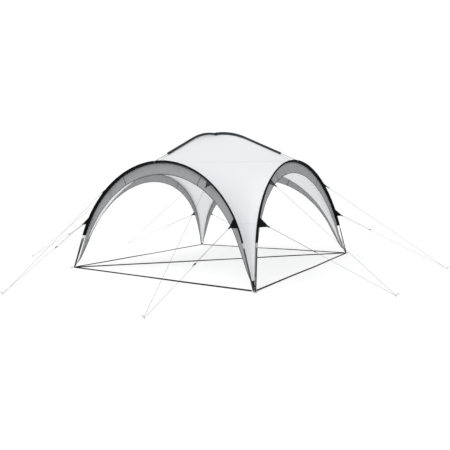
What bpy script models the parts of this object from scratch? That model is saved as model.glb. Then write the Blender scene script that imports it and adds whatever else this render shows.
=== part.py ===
"""Square dome shelter: four leaning side arches, two roof poles that cross at the top, a tensioned
canopy with a valance in each arch, ground straps, and eight guy lines with sliders and pegs.
Metres, +Z up, the ground at z = 0 and the middle of the floor at the origin."""
import math

import bmesh
import bpy
import numpy as np
from mathutils import Matrix, Vector

# Overall sizes
FOOTPRINT = 3.5                     # between the corner feet, along a side
ARCH_HEIGHT = 1.665                 # ground to crown, measured in the arch's own plane
ARCH_LEAN = math.radians(7.6)       # each arch leans in over the floor
LEG_ANGLE = math.radians(72)        # the straight leg, up from the ground
ROOF_RISE = 0.57963                 # from the crowns to the middle of the lower roof pole
ROOF_END_SLOPE = math.radians(26)   # the roof poles where they come down to the crowns

# Poles and feet
BOW_RADIUS = 0.0065
BOW_INSERT = 0.07                   # bow inside the leg tube
LEG_CLEARANCE = 0.0005              # the bow slides into the leg tube
LEG_WALL = 0.0025
LEG_RADIUS = BOW_RADIUS + LEG_CLEARANCE + LEG_WALL
LEG_TOP_MARGIN = 0.0397             # the leg tube ends this far below the arch's bend
LEG_INSET = 0.018                   # a leg stands this far along its side from the foot's middle
ROOF_POLE_RADIUS = 0.0063
ROOF_RING_CLEARANCE = 0.0006
ROOF_RING_WALL = 0.0049
ROOF_RING_RADIUS = BOW_RADIUS + ROOF_RING_CLEARANCE + ROOF_RING_WALL
ROOF_RING_WIDTH = 0.022
FOOT_RADIUS = 0.030
FOOT_THICKNESS = 0.004
PIN_CLEARANCE = 0.001               # the leg tube stands over the foot's pin
PIN_RADIUS = LEG_RADIUS - LEG_WALL - PIN_CLEARANCE
PIN_LENGTH = 0.045
PIN_START = 0.003                   # a pin's root, sunk in the disc
FOOT_EYE_RADIUS = 0.017
FOOT_EYE_WIRE = 0.0028

# Fabric
SLEEVE_ROOM = 0.0095                # round the bow inside its sleeve
SLEEVE_WALL = 0.0015
SLEEVE_RADIUS = BOW_RADIUS + SLEEVE_ROOM + SLEEVE_WALL
SLEEVE_MARGIN = 0.065               # an arch sleeve begins this far above the leg tube
ROOF_SLEEVE_REACH = 1.25            # end of a roof sleeve, out from the middle
SLEEVE_WINDOW = 0.022               # half width of the opening at an arch's crown
BORE_OVERRUN = 0.02                 # a cutter runs on past the end that it opens
FABRIC = 0.0025                     # thickness of canopy and valance solids
VALANCE_DEPTH = 0.150               # at the crown, below the sleeve
VALANCE_START = 0.12                # bottom end of the valance, along the arch from the foot
CANOPY_START = 0.05                 # bottom end of the canopy, along the arch from the foot
CANOPY_SLACK = 0.020                # the canopy's edge stands in from the bare leg
CANOPY_DROP = 0.0035                # the canopy hangs this much clear of the roof sleeve

# Guy patches: bottom and top along the arch from the foot, and how far the point stands out
LOWER_PATCH = (0.78, 0.92, 0.105)
UPPER_PATCH = (1.48, 1.585, 0.075)
PATCH_THICKNESS = 0.002
TAB_LENGTH = 0.030
TAB_HALF_WIDTH = 0.010
PATCH_AIM = (1.12, 1.68)            # along the side and out from it: where the patches point

# Ground straps
STRAP_WIDTH = 0.020
STRAP_THICKNESS = 0.0015
STRAP_TILT = math.radians(60)       # drawn tight, the webbing stands up on its edge
STRAP_CLEARANCE = 0.012             # from a foot's rim to the end of a strap

# Guy lines, sliders and pegs
PEG_RADIUS = 0.003
CORD_RADIUS = 0.0015
CORD_ROOM = 0.002                   # between a peg and the line round it
CORD_BEND = PEG_RADIUS + CORD_RADIUS + CORD_ROOM
CORD_STEPS = 2                      # short pieces between two points of a route
CORD_LEAD = 0.05                    # straight line next to a bend
CORD_LEAD_IN = 0.008                # where the straight line begins to turn
SLIDER_CLEARANCE = 0.0008           # the line slides through the slider
SLIDER_BORE = CORD_RADIUS + SLIDER_CLEARANCE
SLIDER_WALL = 0.00245               # from a bore to the slider's long edge
SLIDER_SKIN = 0.00145               # from a bore to the slider's face
SLIDER_SIZE = (0.032, 2 * (CORD_BEND + SLIDER_BORE + SLIDER_WALL), 2 * (SLIDER_BORE + SLIDER_SKIN))
SLIDER_BEVEL = 0.0015
SLIDER_TAIL = 0.030                 # cord past the slider's middle
PEG_LEAN = math.radians(18)
PEG_LOOP_HEIGHT = 0.016
PEG_STAND = 0.034                   # height where the rod turns into its hook
PEG_HOOK = 0.023                    # across the hook
PEG_HOOK_RISE = 0.010
PEG_HOOK_DROP = 0.006

# Where each pair of guy lines is pegged: along its side from the middle, and out from the side.
# How far below its tab each slider sits comes third.
PEG_SPOTS = {
    "front": ((-0.82, 1.58, 0.70), (1.38, 1.38, 0.70)),
    "right": ((-1.22, 1.42, 0.60), (0.74, 1.74, 0.60)),
    "back": ((-1.15, 1.65, 0.70), (1.15, 1.65, 0.70)),
    "left": ((-1.20, 1.98, 0.70), (1.36, 1.96, 0.60)),
}

GAP = 0.0003                        # between pieces that touch
QUARTER = math.radians(90)
SEAM_GAP = 0.0010                   # between sewn pieces that follow the same curve
SIDES = ("front", "right", "back", "left")
ENDS = {"front": ("left", "right"), "right": ("front", "back"),
        "back": ("right", "left"), "left": ("back", "front")}
CORNERS = ("front_right", "back_right", "back_left", "front_left")

HALF_SIDE = FOOTPRINT / 2
HALF_SPAN = HALF_SIDE - LEG_INSET

# An arch is a straight leg that runs on into a circular bow.
TURN = (1 - math.cos(LEG_ANGLE)) / math.sin(LEG_ANGLE)
LEG_STRAIGHT = (ARCH_HEIGHT - HALF_SPAN * TURN) / (math.sin(LEG_ANGLE) - math.cos(LEG_ANGLE) * TURN)
BOW_BEND = (HALF_SPAN - LEG_STRAIGHT * math.cos(LEG_ANGLE)) / math.sin(LEG_ANGLE)
LEG_LENGTH = LEG_STRAIGHT - LEG_TOP_MARGIN
SLEEVE_START = LEG_LENGTH + SLEEVE_MARGIN
ARCH_HALF = LEG_STRAIGHT + BOW_BEND * LEG_ANGLE
CROWN_REACH = HALF_SIDE - ARCH_HEIGHT * math.sin(ARCH_LEAN)
CROWN_HEIGHT = ARCH_HEIGHT * math.cos(ARCH_LEAN)
APEX_HEIGHT = CROWN_HEIGHT + ROOF_RISE
FABRIC_OFFSET = SLEEVE_RADIUS + SEAM_GAP + FABRIC / 2
PANEL_EDGE = (FABRIC + GAP) / 2      # a canopy panel's edge, off the line under a roof pole

SLEEVE_BLACK = ("sleeve_fabric", (0.018, 0.019, 0.021, 1), 0.85, 0.0)
ROOF_SLEEVE_GREY = ("roof_sleeve_fabric", (0.045, 0.050, 0.054, 1), 0.85, 0.0)
CANOPY_WHITE = ("canopy_fabric", (0.80, 0.82, 0.83, 1), 0.60, 0.0)
VALANCE_GREY = ("valance_fabric", (0.30, 0.32, 0.33, 1), 0.65, 0.0)
BOW_GREY = ("fibreglass_pole", (0.45, 0.46, 0.46, 1), 0.40, 0.0)
LEG_STEEL = ("steel_leg", (0.05, 0.055, 0.06, 1), 0.40, 0.6)
FOOT_ZINC = ("zinc_foot", (0.62, 0.66, 0.66, 1), 0.35, 0.9)
STRAP_BLACK = ("strap_webbing", (0.03, 0.03, 0.032, 1), 0.80, 0.0)
CORD_GREY = ("guy_cord", (0.25, 0.25, 0.25, 1), 0.70, 0.0)
SLIDER_BLACK = ("slider_plastic", (0.02, 0.02, 0.02, 1), 0.50, 0.0)
PEG_STEEL = ("peg_steel", (0.45, 0.45, 0.46, 1), 0.35, 0.9)


def clear_scene():
    for thing in list(bpy.data.objects):
        bpy.data.objects.remove(thing, do_unlink=True)


def material(finish):
    name, colour, roughness, metallic = finish
    found = bpy.data.materials.get(name)
    if found:
        return found
    made = bpy.data.materials.new(name)
    made.use_nodes = True
    shader = made.node_tree.nodes["Principled BSDF"]
    shader.inputs["Base Color"].default_value = colour
    shader.inputs["Roughness"].default_value = roughness
    shader.inputs["Metallic"].default_value = metallic
    return made


def add_part(name, data, finish, parent=None):
    """A named object in the shelter's collection, with its own finish."""
    part = bpy.data.objects.new(name, data)
    PARTS.objects.link(part)
    part.parent = parent
    if not data.materials:
        data.materials.append(material(finish))
    return part


def add_empty(name, location, rotation, parent=None):
    empty = bpy.data.objects.new(name, None)
    empty.location = location
    empty.rotation_euler = rotation
    empty.parent = parent
    PARTS.objects.link(empty)
    return empty


def poly_curve(name, points, radius, resolution, caps=True):
    """A round bar along a line of points."""
    curve = bpy.data.curves.new(name, "CURVE")
    curve.dimensions = "3D"
    spline = curve.splines.new("POLY")
    spline.points.add(len(points) - 1)
    for slot, point in zip(spline.points, points):
        slot.co = (*point, 1)
    curve.bevel_depth = radius
    curve.bevel_resolution = resolution
    curve.use_fill_caps = caps
    return curve


def flat_curve(name, outline, thickness):
    """A closed flat outline in its own XY plane, given a thickness."""
    curve = bpy.data.curves.new(name, "CURVE")
    curve.dimensions = "2D"
    spline = curve.splines.new("POLY")
    spline.points.add(len(outline) - 1)
    for slot, (x, y) in zip(spline.points, outline):
        slot.co = (x, y, 0, 1)
    spline.use_cyclic_u = True
    curve.fill_mode = "BOTH"
    curve.extrude = thickness / 2
    return curve


def solid_from(data, place=Matrix()):
    """A curve or mesh as a welded mesh object, ready to be joined or cut."""
    source = bpy.data.objects.new("source", data)
    bpy.context.scene.collection.objects.link(source)
    bpy.context.view_layer.update()
    mesh = bpy.data.meshes.new_from_object(source.evaluated_get(bpy.context.evaluated_depsgraph_get()))
    bpy.data.objects.remove(source, do_unlink=True)
    shape = bmesh.new()
    shape.from_mesh(mesh)
    bmesh.ops.remove_doubles(shape, verts=shape.verts, dist=0.00001)
    bmesh.ops.recalc_face_normals(shape, faces=shape.faces)
    shape.to_mesh(mesh)
    shape.free()
    mesh.materials.clear()
    solid = bpy.data.objects.new("solid", mesh)
    solid.matrix_world = place
    CUTTERS.objects.link(solid)
    return solid


def combine(name, base, joined=(), cut=()):
    """The base solid with others joined to it and cut from it, as one plain mesh."""
    for operation, tools in (("UNION", joined), ("DIFFERENCE", cut)):
        for tool in tools:
            step = base.modifiers.new(operation.lower(), "BOOLEAN")
            step.operation = operation
            step.object = tool
            step.solver = "EXACT"
    bpy.context.view_layer.update()
    mesh = bpy.data.meshes.new_from_object(base.evaluated_get(bpy.context.evaluated_depsgraph_get()))
    mesh.transform(base.matrix_world)
    mesh.name = name
    mesh.materials.clear()
    for tool in (base, *joined, *cut):
        bpy.data.objects.remove(tool, do_unlink=True)
    return mesh


def round_bar(radius, length, sides=12):
    """A capped cylinder along its own Z, from its base up."""
    mesh = bpy.data.meshes.new("round_bar")
    shape = bmesh.new()
    bmesh.ops.create_cone(shape, cap_ends=True, segments=sides, radius1=radius, radius2=radius,
                          depth=length, matrix=Matrix.Translation((0, 0, length / 2)))
    shape.to_mesh(mesh)
    shape.free()
    return mesh


def block(size):
    mesh = bpy.data.meshes.new("block")
    shape = bmesh.new()
    bmesh.ops.create_cube(shape, size=1, matrix=Matrix.Diagonal((*size, 1)))
    shape.to_mesh(mesh)
    shape.free()
    return mesh


def shade_smooth(mesh):
    for face in mesh.polygons:
        face.use_smooth = True


def frame_along(axis, across, origin):
    """A placing matrix whose X runs along the axis and whose Y is as near across as it can be."""
    x_axis = axis.normalized()
    z_axis = x_axis.cross(across).normalized()
    y_axis = z_axis.cross(x_axis)
    place = Matrix((x_axis, y_axis, z_axis)).transposed().to_4x4()
    place.translation = origin
    return place


def smooth_line(points, steps):
    """Points read from a smooth curve through the given ones, with the same steps in each stretch."""
    line = []
    ends = [points[0] * 2 - points[1]] + list(points) + [points[-1] * 2 - points[-2]]
    for k in range(len(points) - 1):
        a, b, c, d = ends[k:k + 4]
        t1 = (b - a).length ** 0.5
        t2 = t1 + (c - b).length ** 0.5
        t3 = t2 + (d - c).length ** 0.5
        for step in range(steps):
            t = t1 + (t2 - t1) * step / steps
            ab = a * ((t1 - t) / t1) + b * (t / t1)
            bc = b * ((t2 - t) / (t2 - t1)) + c * ((t - t1) / (t2 - t1))
            cd = c * ((t3 - t) / (t3 - t2)) + d * ((t - t2) / (t3 - t2))
            abc = ab * ((t2 - t) / t2) + bc * (t / t2)
            bcd = bc * ((t3 - t) / (t3 - t1)) + cd * ((t - t1) / (t3 - t1))
            line.append(abc * ((t2 - t) / (t2 - t1)) + bcd * ((t - t1) / (t2 - t1)))
    line.append(points[-1])
    return line


def arch_point(along, inward=0.0, out=0.0):
    """A point in a side's own plane. Along runs over the arch from its left foot; inward is towards
    the doorway, and out is away from the floor's middle."""
    left = along < ARCH_HALF
    climb = along if left else 2 * ARCH_HALF - along
    if climb < LEG_STRAIGHT:
        angle = LEG_ANGLE
        x = HALF_SPAN - climb * math.cos(LEG_ANGLE)
        z = climb * math.sin(LEG_ANGLE)
    else:
        angle = LEG_ANGLE - (climb - LEG_STRAIGHT) / BOW_BEND
        x = BOW_BEND * math.sin(angle)
        z = ARCH_HEIGHT - BOW_BEND * (1 - math.cos(angle))
    x -= inward * math.sin(angle)
    z -= inward * math.cos(angle)
    return Vector((-x if left else x, -out, z))


def arch_stations(start):
    """Places along the arch, closer on the bow than on the legs, the same for whatever follows it."""
    count = 14
    bends = [LEG_STRAIGHT + (ARCH_HALF - LEG_STRAIGHT) * k / count for k in range(count)]
    left = [start] + [along for along in bends if along > start + 0.02]
    return left + [ARCH_HALF] + [2 * ARCH_HALF - along for along in reversed(left)]


def side_matrix(side):
    """From a side's own plane to the world."""
    turn = Matrix.Rotation(QUARTER * SIDES.index(side), 4, "Z")
    return turn @ Matrix.Translation((0, -HALF_SIDE, 0)) @ Matrix.Rotation(-ARCH_LEAN, 4, "X")


def roof_curve(apex):
    """The bend and the straight end of a roof pole that tops out at a given height."""
    slope = np.array([[math.sin(ROOF_END_SLOPE), math.cos(ROOF_END_SLOPE)],
                      [1 - math.cos(ROOF_END_SLOPE), math.sin(ROOF_END_SLOPE)]])
    bend, straight = np.linalg.solve(slope, [CROWN_REACH, apex - CROWN_HEIGHT])
    return float(bend), float(straight)


def roof_height(reach, apex):
    """Height of a roof pole's centre at a distance out from the middle."""
    bend, _ = roof_curve(apex)
    turn_end = bend * math.sin(ROOF_END_SLOPE)
    reach = abs(reach)
    if reach < turn_end:
        return apex - bend + math.sqrt(bend * bend - reach * reach)
    drop = bend * (1 - math.cos(ROOF_END_SLOPE)) + (reach - turn_end) * math.tan(ROOF_END_SLOPE)
    return apex - drop


def roof_points(reach, apex, count):
    """A roof line from front to back, in the plane x = 0."""
    steps = [reach * (2 * k / count - 1) for k in range(count + 1)]
    return [Vector((0, y, roof_height(y, apex))) for y in steps]


UPPER_APEX = APEX_HEIGHT + 2 * ROOF_POLE_RADIUS + GAP


def make_bows(side_frames):
    stations = arch_stations(LEG_LENGTH - BOW_INSERT)
    curve = poly_curve("arch_bow", [arch_point(s) for s in stations], BOW_RADIUS, 2)
    for side, frame in side_frames.items():
        add_part(f"arch_bow_{side}", curve, BOW_GREY, frame)


def make_legs(side_frames):
    """Straight steel tubes, each over a foot pin at the bottom and round a bow's end at the top."""
    lift = FOOT_THICKNESS + LEG_RADIUS * math.sin(QUARTER - LEG_ANGLE + ARCH_LEAN) + GAP
    base = lift / (math.sin(LEG_ANGLE) * math.cos(ARCH_LEAN))
    curve = poly_curve("leg", [(0, 0, base), (0, 0, LEG_LENGTH)], LEG_RADIUS, 4, caps=False)
    for side, frame in side_frames.items():
        for end, hand in zip(ENDS[side], (-1, 1)):
            leg = add_part(f"leg_{side}_{end}", curve, LEG_STEEL, frame)
            leg.location = (hand * HALF_SPAN, 0, 0)
            leg.rotation_euler = (0, -hand * (QUARTER - LEG_ANGLE), 0)
            wall = leg.modifiers.new("wall", "SOLIDIFY")
            wall.thickness = LEG_WALL
            wall.offset = -1


def roof_pole(apex):
    """A bent pole with a pressed-on ring at each end, which the arch bow passes through."""
    reach = CROWN_REACH - (BOW_RADIUS + ROOF_RING_RADIUS) / 2 * math.cos(ROOF_END_SLOPE)
    bar = solid_from(poly_curve("pole", roof_points(reach, apex, 28), ROOF_POLE_RADIUS, 2))
    turn = Matrix.Rotation(QUARTER, 4, "Y")
    rings = []
    bores = []
    for hand in (-1, 1):
        middle = Matrix.Translation((-ROOF_RING_WIDTH / 2, hand * CROWN_REACH, CROWN_HEIGHT))
        rings.append(solid_from(round_bar(ROOF_RING_RADIUS, ROOF_RING_WIDTH, 16), middle @ turn))
        clear = Matrix.Translation((-ROOF_RING_WIDTH, hand * CROWN_REACH, CROWN_HEIGHT))
        bore_radius = BOW_RADIUS + ROOF_RING_CLEARANCE
        bores.append(solid_from(round_bar(bore_radius, 2 * ROOF_RING_WIDTH, 16), clear @ turn))
    mesh = combine("roof_pole", bar, joined=rings, cut=bores)
    shade_smooth(mesh)
    return mesh


def make_roof_poles():
    add_part("roof_pole_front_to_back", roof_pole(APEX_HEIGHT), BOW_GREY)
    upper = add_part("roof_pole_left_to_right", roof_pole(UPPER_APEX), BOW_GREY)
    upper.rotation_euler = (0, 0, QUARTER)


def make_feet():
    """A flat zinc foot at each corner: a disc, two pins for the legs and an eye for a peg."""
    base = solid_from(round_bar(FOOT_RADIUS, FOOT_THICKNESS, 24))
    pins = []
    for side, hand in (("front", 1), ("right", -1)):
        foot = Vector((hand * HALF_SPAN, 0, 0))
        climb = Vector((-hand * math.cos(LEG_ANGLE), 0, math.sin(LEG_ANGLE)))
        place = side_matrix(side)
        start = place @ (foot + climb * PIN_START) - Vector((HALF_SIDE, -HALF_SIDE, 0))
        heading = place.to_3x3() @ climb
        stand = heading.to_track_quat("Z", "Y").to_matrix().to_4x4()
        stand.translation = start
        pins.append(solid_from(round_bar(PIN_RADIUS, PIN_LENGTH, 10), stand))
    reach = (FOOT_RADIUS + FOOT_EYE_RADIUS - FOOT_EYE_WIRE) / math.sqrt(2)
    around = [math.radians(30 * k) for k in range(12)]
    ring = [(FOOT_EYE_RADIUS * math.cos(a), FOOT_EYE_RADIUS * math.sin(a), 0) for a in around]
    eye = poly_curve("eye", ring, FOOT_EYE_WIRE, 2)
    eye.splines[0].use_cyclic_u = True
    eye_solid = solid_from(eye, Matrix.Translation((reach, -reach, FOOT_EYE_WIRE)))
    mesh = combine("corner_foot", base, joined=[*pins, eye_solid])
    shade_smooth(mesh)
    for k, corner in enumerate(CORNERS):
        foot = add_part(f"corner_foot_{corner}", mesh, FOOT_ZINC)
        turn = Matrix.Rotation(QUARTER * k, 4, "Z")
        foot.location = turn @ Vector((HALF_SIDE, -HALF_SIDE, 0))
        foot.rotation_euler = (0, 0, QUARTER * k)


def patch_aim(side_hand):
    """Where the patches of one half point, in the side's own plane."""
    along, out = PATCH_AIM
    return Matrix.Rotation(ARCH_LEAN, 3, "X") @ Vector((side_hand * along, -out, 0))


def patch_frame(patch, hand):
    """The patch's base middle, the arch's direction there, and the way the patch points."""
    bottom, top, _ = patch
    middle = (bottom + top) / 2
    low = arch_point(bottom if hand < 0 else 2 * ARCH_HALF - bottom)
    high = arch_point(top if hand < 0 else 2 * ARCH_HALF - top)
    root = arch_point(middle if hand < 0 else 2 * ARCH_HALF - middle)
    rise = (high - low).normalized()
    point = (patch_aim(hand) - root).normalized()
    return root, rise, point


def tab_end(patch, hand):
    """The middle of the end of a patch's webbing tab, where the guy line is tied."""
    root, _, point = patch_frame(patch, hand)
    return root + point * (SLEEVE_RADIUS + patch[2] + TAB_LENGTH)


def patch_solid(patch, hand):
    bottom, top, reach = patch
    root, rise, point = patch_frame(patch, hand)
    square = (point - rise * point.dot(rise)).normalized()
    heading = Vector((point.dot(rise), point.dot(square)))
    side_step = Vector((heading.y, -heading.x)) * TAB_HALF_WIDTH
    tip = heading * (SLEEVE_RADIUS + reach)
    end = heading * (SLEEVE_RADIUS + reach + TAB_LENGTH)
    half = (top - bottom) / 2
    outline = [(-half, 0), (half, 0), tip + side_step, end + side_step, end - side_step, tip - side_step]
    place = frame_along(rise, square, root)
    return solid_from(flat_curve("patch", outline, PATCH_THICKNESS), place)


def make_arch_sleeves(side_frames):
    """A fabric tube round each bow, with its four guy patches sewn on and a window at the crown."""
    stations = arch_stations(SLEEVE_START)
    line = [arch_point(s) for s in stations]
    longer = [arch_point(SLEEVE_START - BORE_OVERRUN), *line[1:-1],
              arch_point(2 * ARCH_HALF - SLEEVE_START + BORE_OVERRUN)]
    outer = solid_from(poly_curve("sleeve", line, SLEEVE_RADIUS, 2))
    inner = solid_from(poly_curve("bore", longer, SLEEVE_RADIUS - SLEEVE_WALL, 2))
    patches = [patch_solid(patch, hand) for patch in (LOWER_PATCH, UPPER_PATCH) for hand in (-1, 1)]
    opening = (2 * SLEEVE_WINDOW, 2 * SLEEVE_RADIUS, 2 * SLEEVE_RADIUS)
    up_and_in = (0, SLEEVE_RADIUS * 0.7, ARCH_HEIGHT + SLEEVE_RADIUS * 0.88)
    window = solid_from(block(opening), Matrix.Translation(up_and_in))
    mesh = combine("arch_sleeve", outer, joined=patches, cut=[inner, window])
    shade_smooth(mesh)
    for side, frame in side_frames.items():
        add_part(f"arch_sleeve_{side}", mesh, SLEEVE_BLACK, frame)


def make_roof_sleeve():
    """Two fabric tubes that cross at the top and are sewn into one."""
    turn = Matrix.Rotation(QUARTER, 4, "Z")
    tubes = []
    bores = []
    for apex, place in ((APEX_HEIGHT, Matrix()), (UPPER_APEX, turn)):
        line = roof_points(ROOF_SLEEVE_REACH, apex, 22)
        tubes.append(solid_from(poly_curve("tube", line, SLEEVE_RADIUS, 2), place))
        line = roof_points(ROOF_SLEEVE_REACH + BORE_OVERRUN, apex, 22)
        bores.append(solid_from(poly_curve("bore", line, SLEEVE_RADIUS - SLEEVE_WALL, 2), place))
    mesh = combine("roof_sleeve", tubes[0], joined=[tubes[1]], cut=bores)
    shade_smooth(mesh)
    add_part("roof_sleeve", mesh, ROOF_SLEEVE_GREY)


def valance_width(along):
    climb = min(along, 2 * ARCH_HALF - along)
    return VALANCE_DEPTH * math.sin(QUARTER * climb / ARCH_HALF) ** 0.75


def make_valances(side_frames):
    """The flat translucent band that hangs in each arch and narrows to nothing at the feet."""
    start = VALANCE_START
    extra = [start + (LEG_STRAIGHT - start) * share for share in (0.18, 0.41, 0.68)]
    stations = arch_stations(start)
    stations = sorted(stations + extra + [2 * ARCH_HALF - s for s in extra])
    edge = SLEEVE_RADIUS + SEAM_GAP
    outer = [arch_point(s, edge) for s in stations]
    inner = [arch_point(s, edge + valance_width(s)) for s in reversed(stations)]
    outline = [(p.x, p.z) for p in outer + inner]
    curve = flat_curve("valance", outline, FABRIC)
    for side, frame in side_frames.items():
        valance = add_part(f"valance_{side}", curve, VALANCE_GREY, frame)
        valance.rotation_euler = (QUARTER, 0, 0)


def canopy_edge(arch_steps, roof_steps):
    """One edge of a corner panel: up the front arch's right half, then up the roof line to the top."""
    place = side_matrix("front")
    edge = []
    for k in range(arch_steps + 1):
        climb = CANOPY_START + (ARCH_HALF - CANOPY_START) * (k / arch_steps)
        slack = CANOPY_SLACK * math.sin(math.pi * climb / SLEEVE_START) if climb < SLEEVE_START else 0
        edge.append(place @ arch_point(2 * ARCH_HALF - climb, slack, -FABRIC_OFFSET))
    edge[-1].x = PANEL_EDGE
    first = CROWN_REACH - FABRIC_OFFSET
    for k in range(1, roof_steps + 1):
        reach = first * (1 - k / roof_steps)
        height = roof_height(reach, APEX_HEIGHT) - FABRIC_OFFSET - CANOPY_DROP
        edge.append(Vector((PANEL_EDGE, -max(reach, PANEL_EDGE), height)))
    return edge


def tension(grid):
    """Pulls the inside of a grid tight between its fixed edges, as a membrane."""
    rows, columns, _ = grid.shape
    inner = [(i, j) for i in range(1, rows - 1) for j in range(1, columns - 1)]
    number = {spot: k for k, spot in enumerate(inner)}
    weights = np.zeros((len(inner), len(inner)))
    pull = np.zeros((len(inner), 3))
    for k, (i, j) in enumerate(inner):
        weights[k, k] = 4
        for spot in ((i - 1, j), (i + 1, j), (i, j - 1), (i, j + 1)):
            if spot in number:
                weights[k, number[spot]] = -1
            else:
                pull[k] += grid[spot]
    solved = np.linalg.solve(weights, pull)
    for k, spot in enumerate(inner):
        grid[spot] = solved[k]


def make_canopy():
    """Four corner panels, each stretched between two arches and two roof lines, down to a foot."""
    edge = canopy_edge(12, 9)
    across = 8
    grid = np.zeros((len(edge), across + 1, 3))
    for i, point in enumerate(edge):
        mirrored = Vector((-point.y, -point.x, point.z))
        for j in range(across + 1):
            grid[i, j] = point.lerp(mirrored, j / across)
    tension(grid)
    mesh = bpy.data.meshes.new("canopy_panel")
    shape = bmesh.new()
    rows = [[shape.verts.new(spot) for spot in row] for row in grid[:-1]]
    top = shape.verts.new(grid[-1, across // 2])
    for low, high in zip(rows, rows[1:]):
        for j in range(across):
            shape.faces.new((low[j], low[j + 1], high[j + 1], high[j]))
    for j in range(across):
        shape.faces.new((rows[-1][j], rows[-1][j + 1], top))
    shape.to_mesh(mesh)
    shape.free()
    shade_smooth(mesh)
    for k, corner in enumerate(CORNERS):
        panel = add_part(f"canopy_{corner}", mesh, CANOPY_WHITE)
        panel.rotation_euler = (0, 0, QUARTER * k)
        cloth = panel.modifiers.new("cloth", "SOLIDIFY")
        cloth.thickness = FABRIC
        cloth.offset = 0


def make_straps():
    """Webbing along the ground: one along each side and one from corner to corner."""
    clear = FOOT_RADIUS + STRAP_CLEARANCE
    rise = (STRAP_WIDTH * math.sin(STRAP_TILT) + STRAP_THICKNESS * math.cos(STRAP_TILT)) / 2
    mesh = block((FOOTPRINT - 2 * clear, STRAP_WIDTH, STRAP_THICKNESS))
    for k, side in enumerate(SIDES):
        strap = add_part(f"ground_strap_{side}", mesh, STRAP_BLACK)
        turn = Matrix.Rotation(QUARTER * k, 4, "Z")
        strap.location = turn @ Vector((0, -HALF_SIDE, rise))
        strap.rotation_euler = (STRAP_TILT, 0, QUARTER * k)
    diagonal = block((FOOTPRINT * math.sqrt(2) - 2 * clear, STRAP_WIDTH, STRAP_THICKNESS))
    strap = add_part("ground_strap_diagonal", diagonal, STRAP_BLACK)
    strap.location = (0, 0, rise)
    strap.rotation_euler = (STRAP_TILT, 0, QUARTER / 2)


def guy_layout(side, hand, spot):
    """The points that one guy line joins: both tab ends, its loop round the peg, and its slider."""
    along, out, slider_drop = spot
    place = side_matrix(side)
    upper = place @ tab_end(UPPER_PATCH, hand)
    lower = place @ tab_end(LOWER_PATCH, hand)
    turn = Matrix.Rotation(QUARTER * SIDES.index(side), 4, "Z")
    peg = turn @ Vector((along, -HALF_SIDE - out, 0))
    away = Vector((peg.x - lower.x, peg.y - lower.y, 0)).normalized()
    rod = peg + away * (PEG_LOOP_HEIGHT * math.tan(PEG_LEAN)) + Vector((0, 0, PEG_LOOP_HEIGHT))
    loop = rod - away * (CORD_BEND - CORD_RADIUS - PEG_RADIUS / math.cos(PEG_LEAN) - GAP)
    run = (lower - loop).normalized()
    upper_way = upper - loop
    across = Vector((0, 0, 1)).cross(run).normalized()
    if across.dot(upper_way) > 0:
        across = -across
    turn_back = lower - run * (CORD_BEND + CORD_RADIUS + GAP)
    slider = turn_back - run * slider_drop
    return {"upper": upper, "lower": lower, "peg": peg, "away": away, "loop": loop, "run": run,
            "across": across, "turn_back": turn_back, "slider": slider}


def half_loop(middle, across, round_way):
    """Five points of a half turn of cord, from one side of its middle to the other."""
    angles = [QUARTER * k / 2 for k in range(5)]
    return [middle + across * (CORD_BEND * math.cos(a)) + round_way * (CORD_BEND * math.sin(a))
            for a in angles]


def straight_run(start, end):
    """A straight stretch of cord between two bends, with points close to each end."""
    way = (end - start).normalized()
    return [start + way * CORD_LEAD_IN, start + way * CORD_LEAD, start.lerp(end, 0.5),
            end - way * CORD_LEAD, end - way * CORD_LEAD_IN]


def guy_route(layout):
    """From the upper tab down to the peg, round it, up through the slider to the lower tab, and
    back down beside itself through the slider to a short tail."""
    run, across, loop, turn_back = (layout[key] for key in ("run", "across", "loop", "turn_back"))
    beside = across * CORD_BEND
    drop = (loop - beside - layout["upper"]).normalized()
    start = layout["upper"] + drop * (CORD_RADIUS + GAP)
    tail = layout["slider"] - beside - run * SLIDER_TAIL
    points = [start, *straight_run(start, loop - beside)[1:]]
    points += half_loop(loop, -across, -run)
    points += straight_run(loop + beside, turn_back + beside)
    points += half_loop(turn_back, across, run)
    points += [*straight_run(turn_back - beside, tail)[:3], tail]
    return smooth_line(points, CORD_STEPS)


def make_slider(name, layout):
    """A moulded slider with a hole for each strand. It runs along the lower guy line."""
    length, width, thickness = SLIDER_SIZE
    body = solid_from(block(SLIDER_SIZE))
    edges = body.modifiers.new("edges", "BEVEL")
    edges.width = SLIDER_BEVEL
    edges.segments = 1
    turn = Matrix.Rotation(QUARTER, 4, "Y")
    bores = []
    for hand in (-1, 1):
        place = Matrix.Translation((-length, hand * CORD_BEND, 0)) @ turn
        bores.append(solid_from(round_bar(SLIDER_BORE, 2 * length, 12), place))
    mesh = combine(name, body, cut=bores)
    slider = add_part(name, mesh, SLIDER_BLACK)
    slider.matrix_world = frame_along(layout["run"], layout["across"], layout["slider"])


def make_peg(name, layout):
    """The part of a hooked steel peg that stands out of the ground, leaning away from the shelter."""
    lean = math.tan(PEG_LEAN)
    foot = PEG_RADIUS * math.sin(PEG_LEAN)
    turn = PEG_STAND * lean
    shape = [(foot * lean, foot), (PEG_STAND * 0.6 * lean, PEG_STAND * 0.6), (turn, PEG_STAND),
             (turn + PEG_HOOK * 0.3, PEG_STAND + PEG_HOOK_RISE * 0.8),
             (turn + PEG_HOOK * 0.65, PEG_STAND + PEG_HOOK_RISE),
             (turn + PEG_HOOK * 0.95, PEG_STAND + PEG_HOOK_RISE * 0.3),
             (turn + PEG_HOOK, PEG_STAND - PEG_HOOK_DROP)]
    points = smooth_line([Vector((x, 0, z)) for x, z in shape], 2)
    peg = add_part(name, poly_curve(name, points, PEG_RADIUS, 2), PEG_STEEL)
    peg.location = layout["peg"]
    peg.rotation_euler = (0, 0, math.atan2(layout["away"].y, layout["away"].x))


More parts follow.
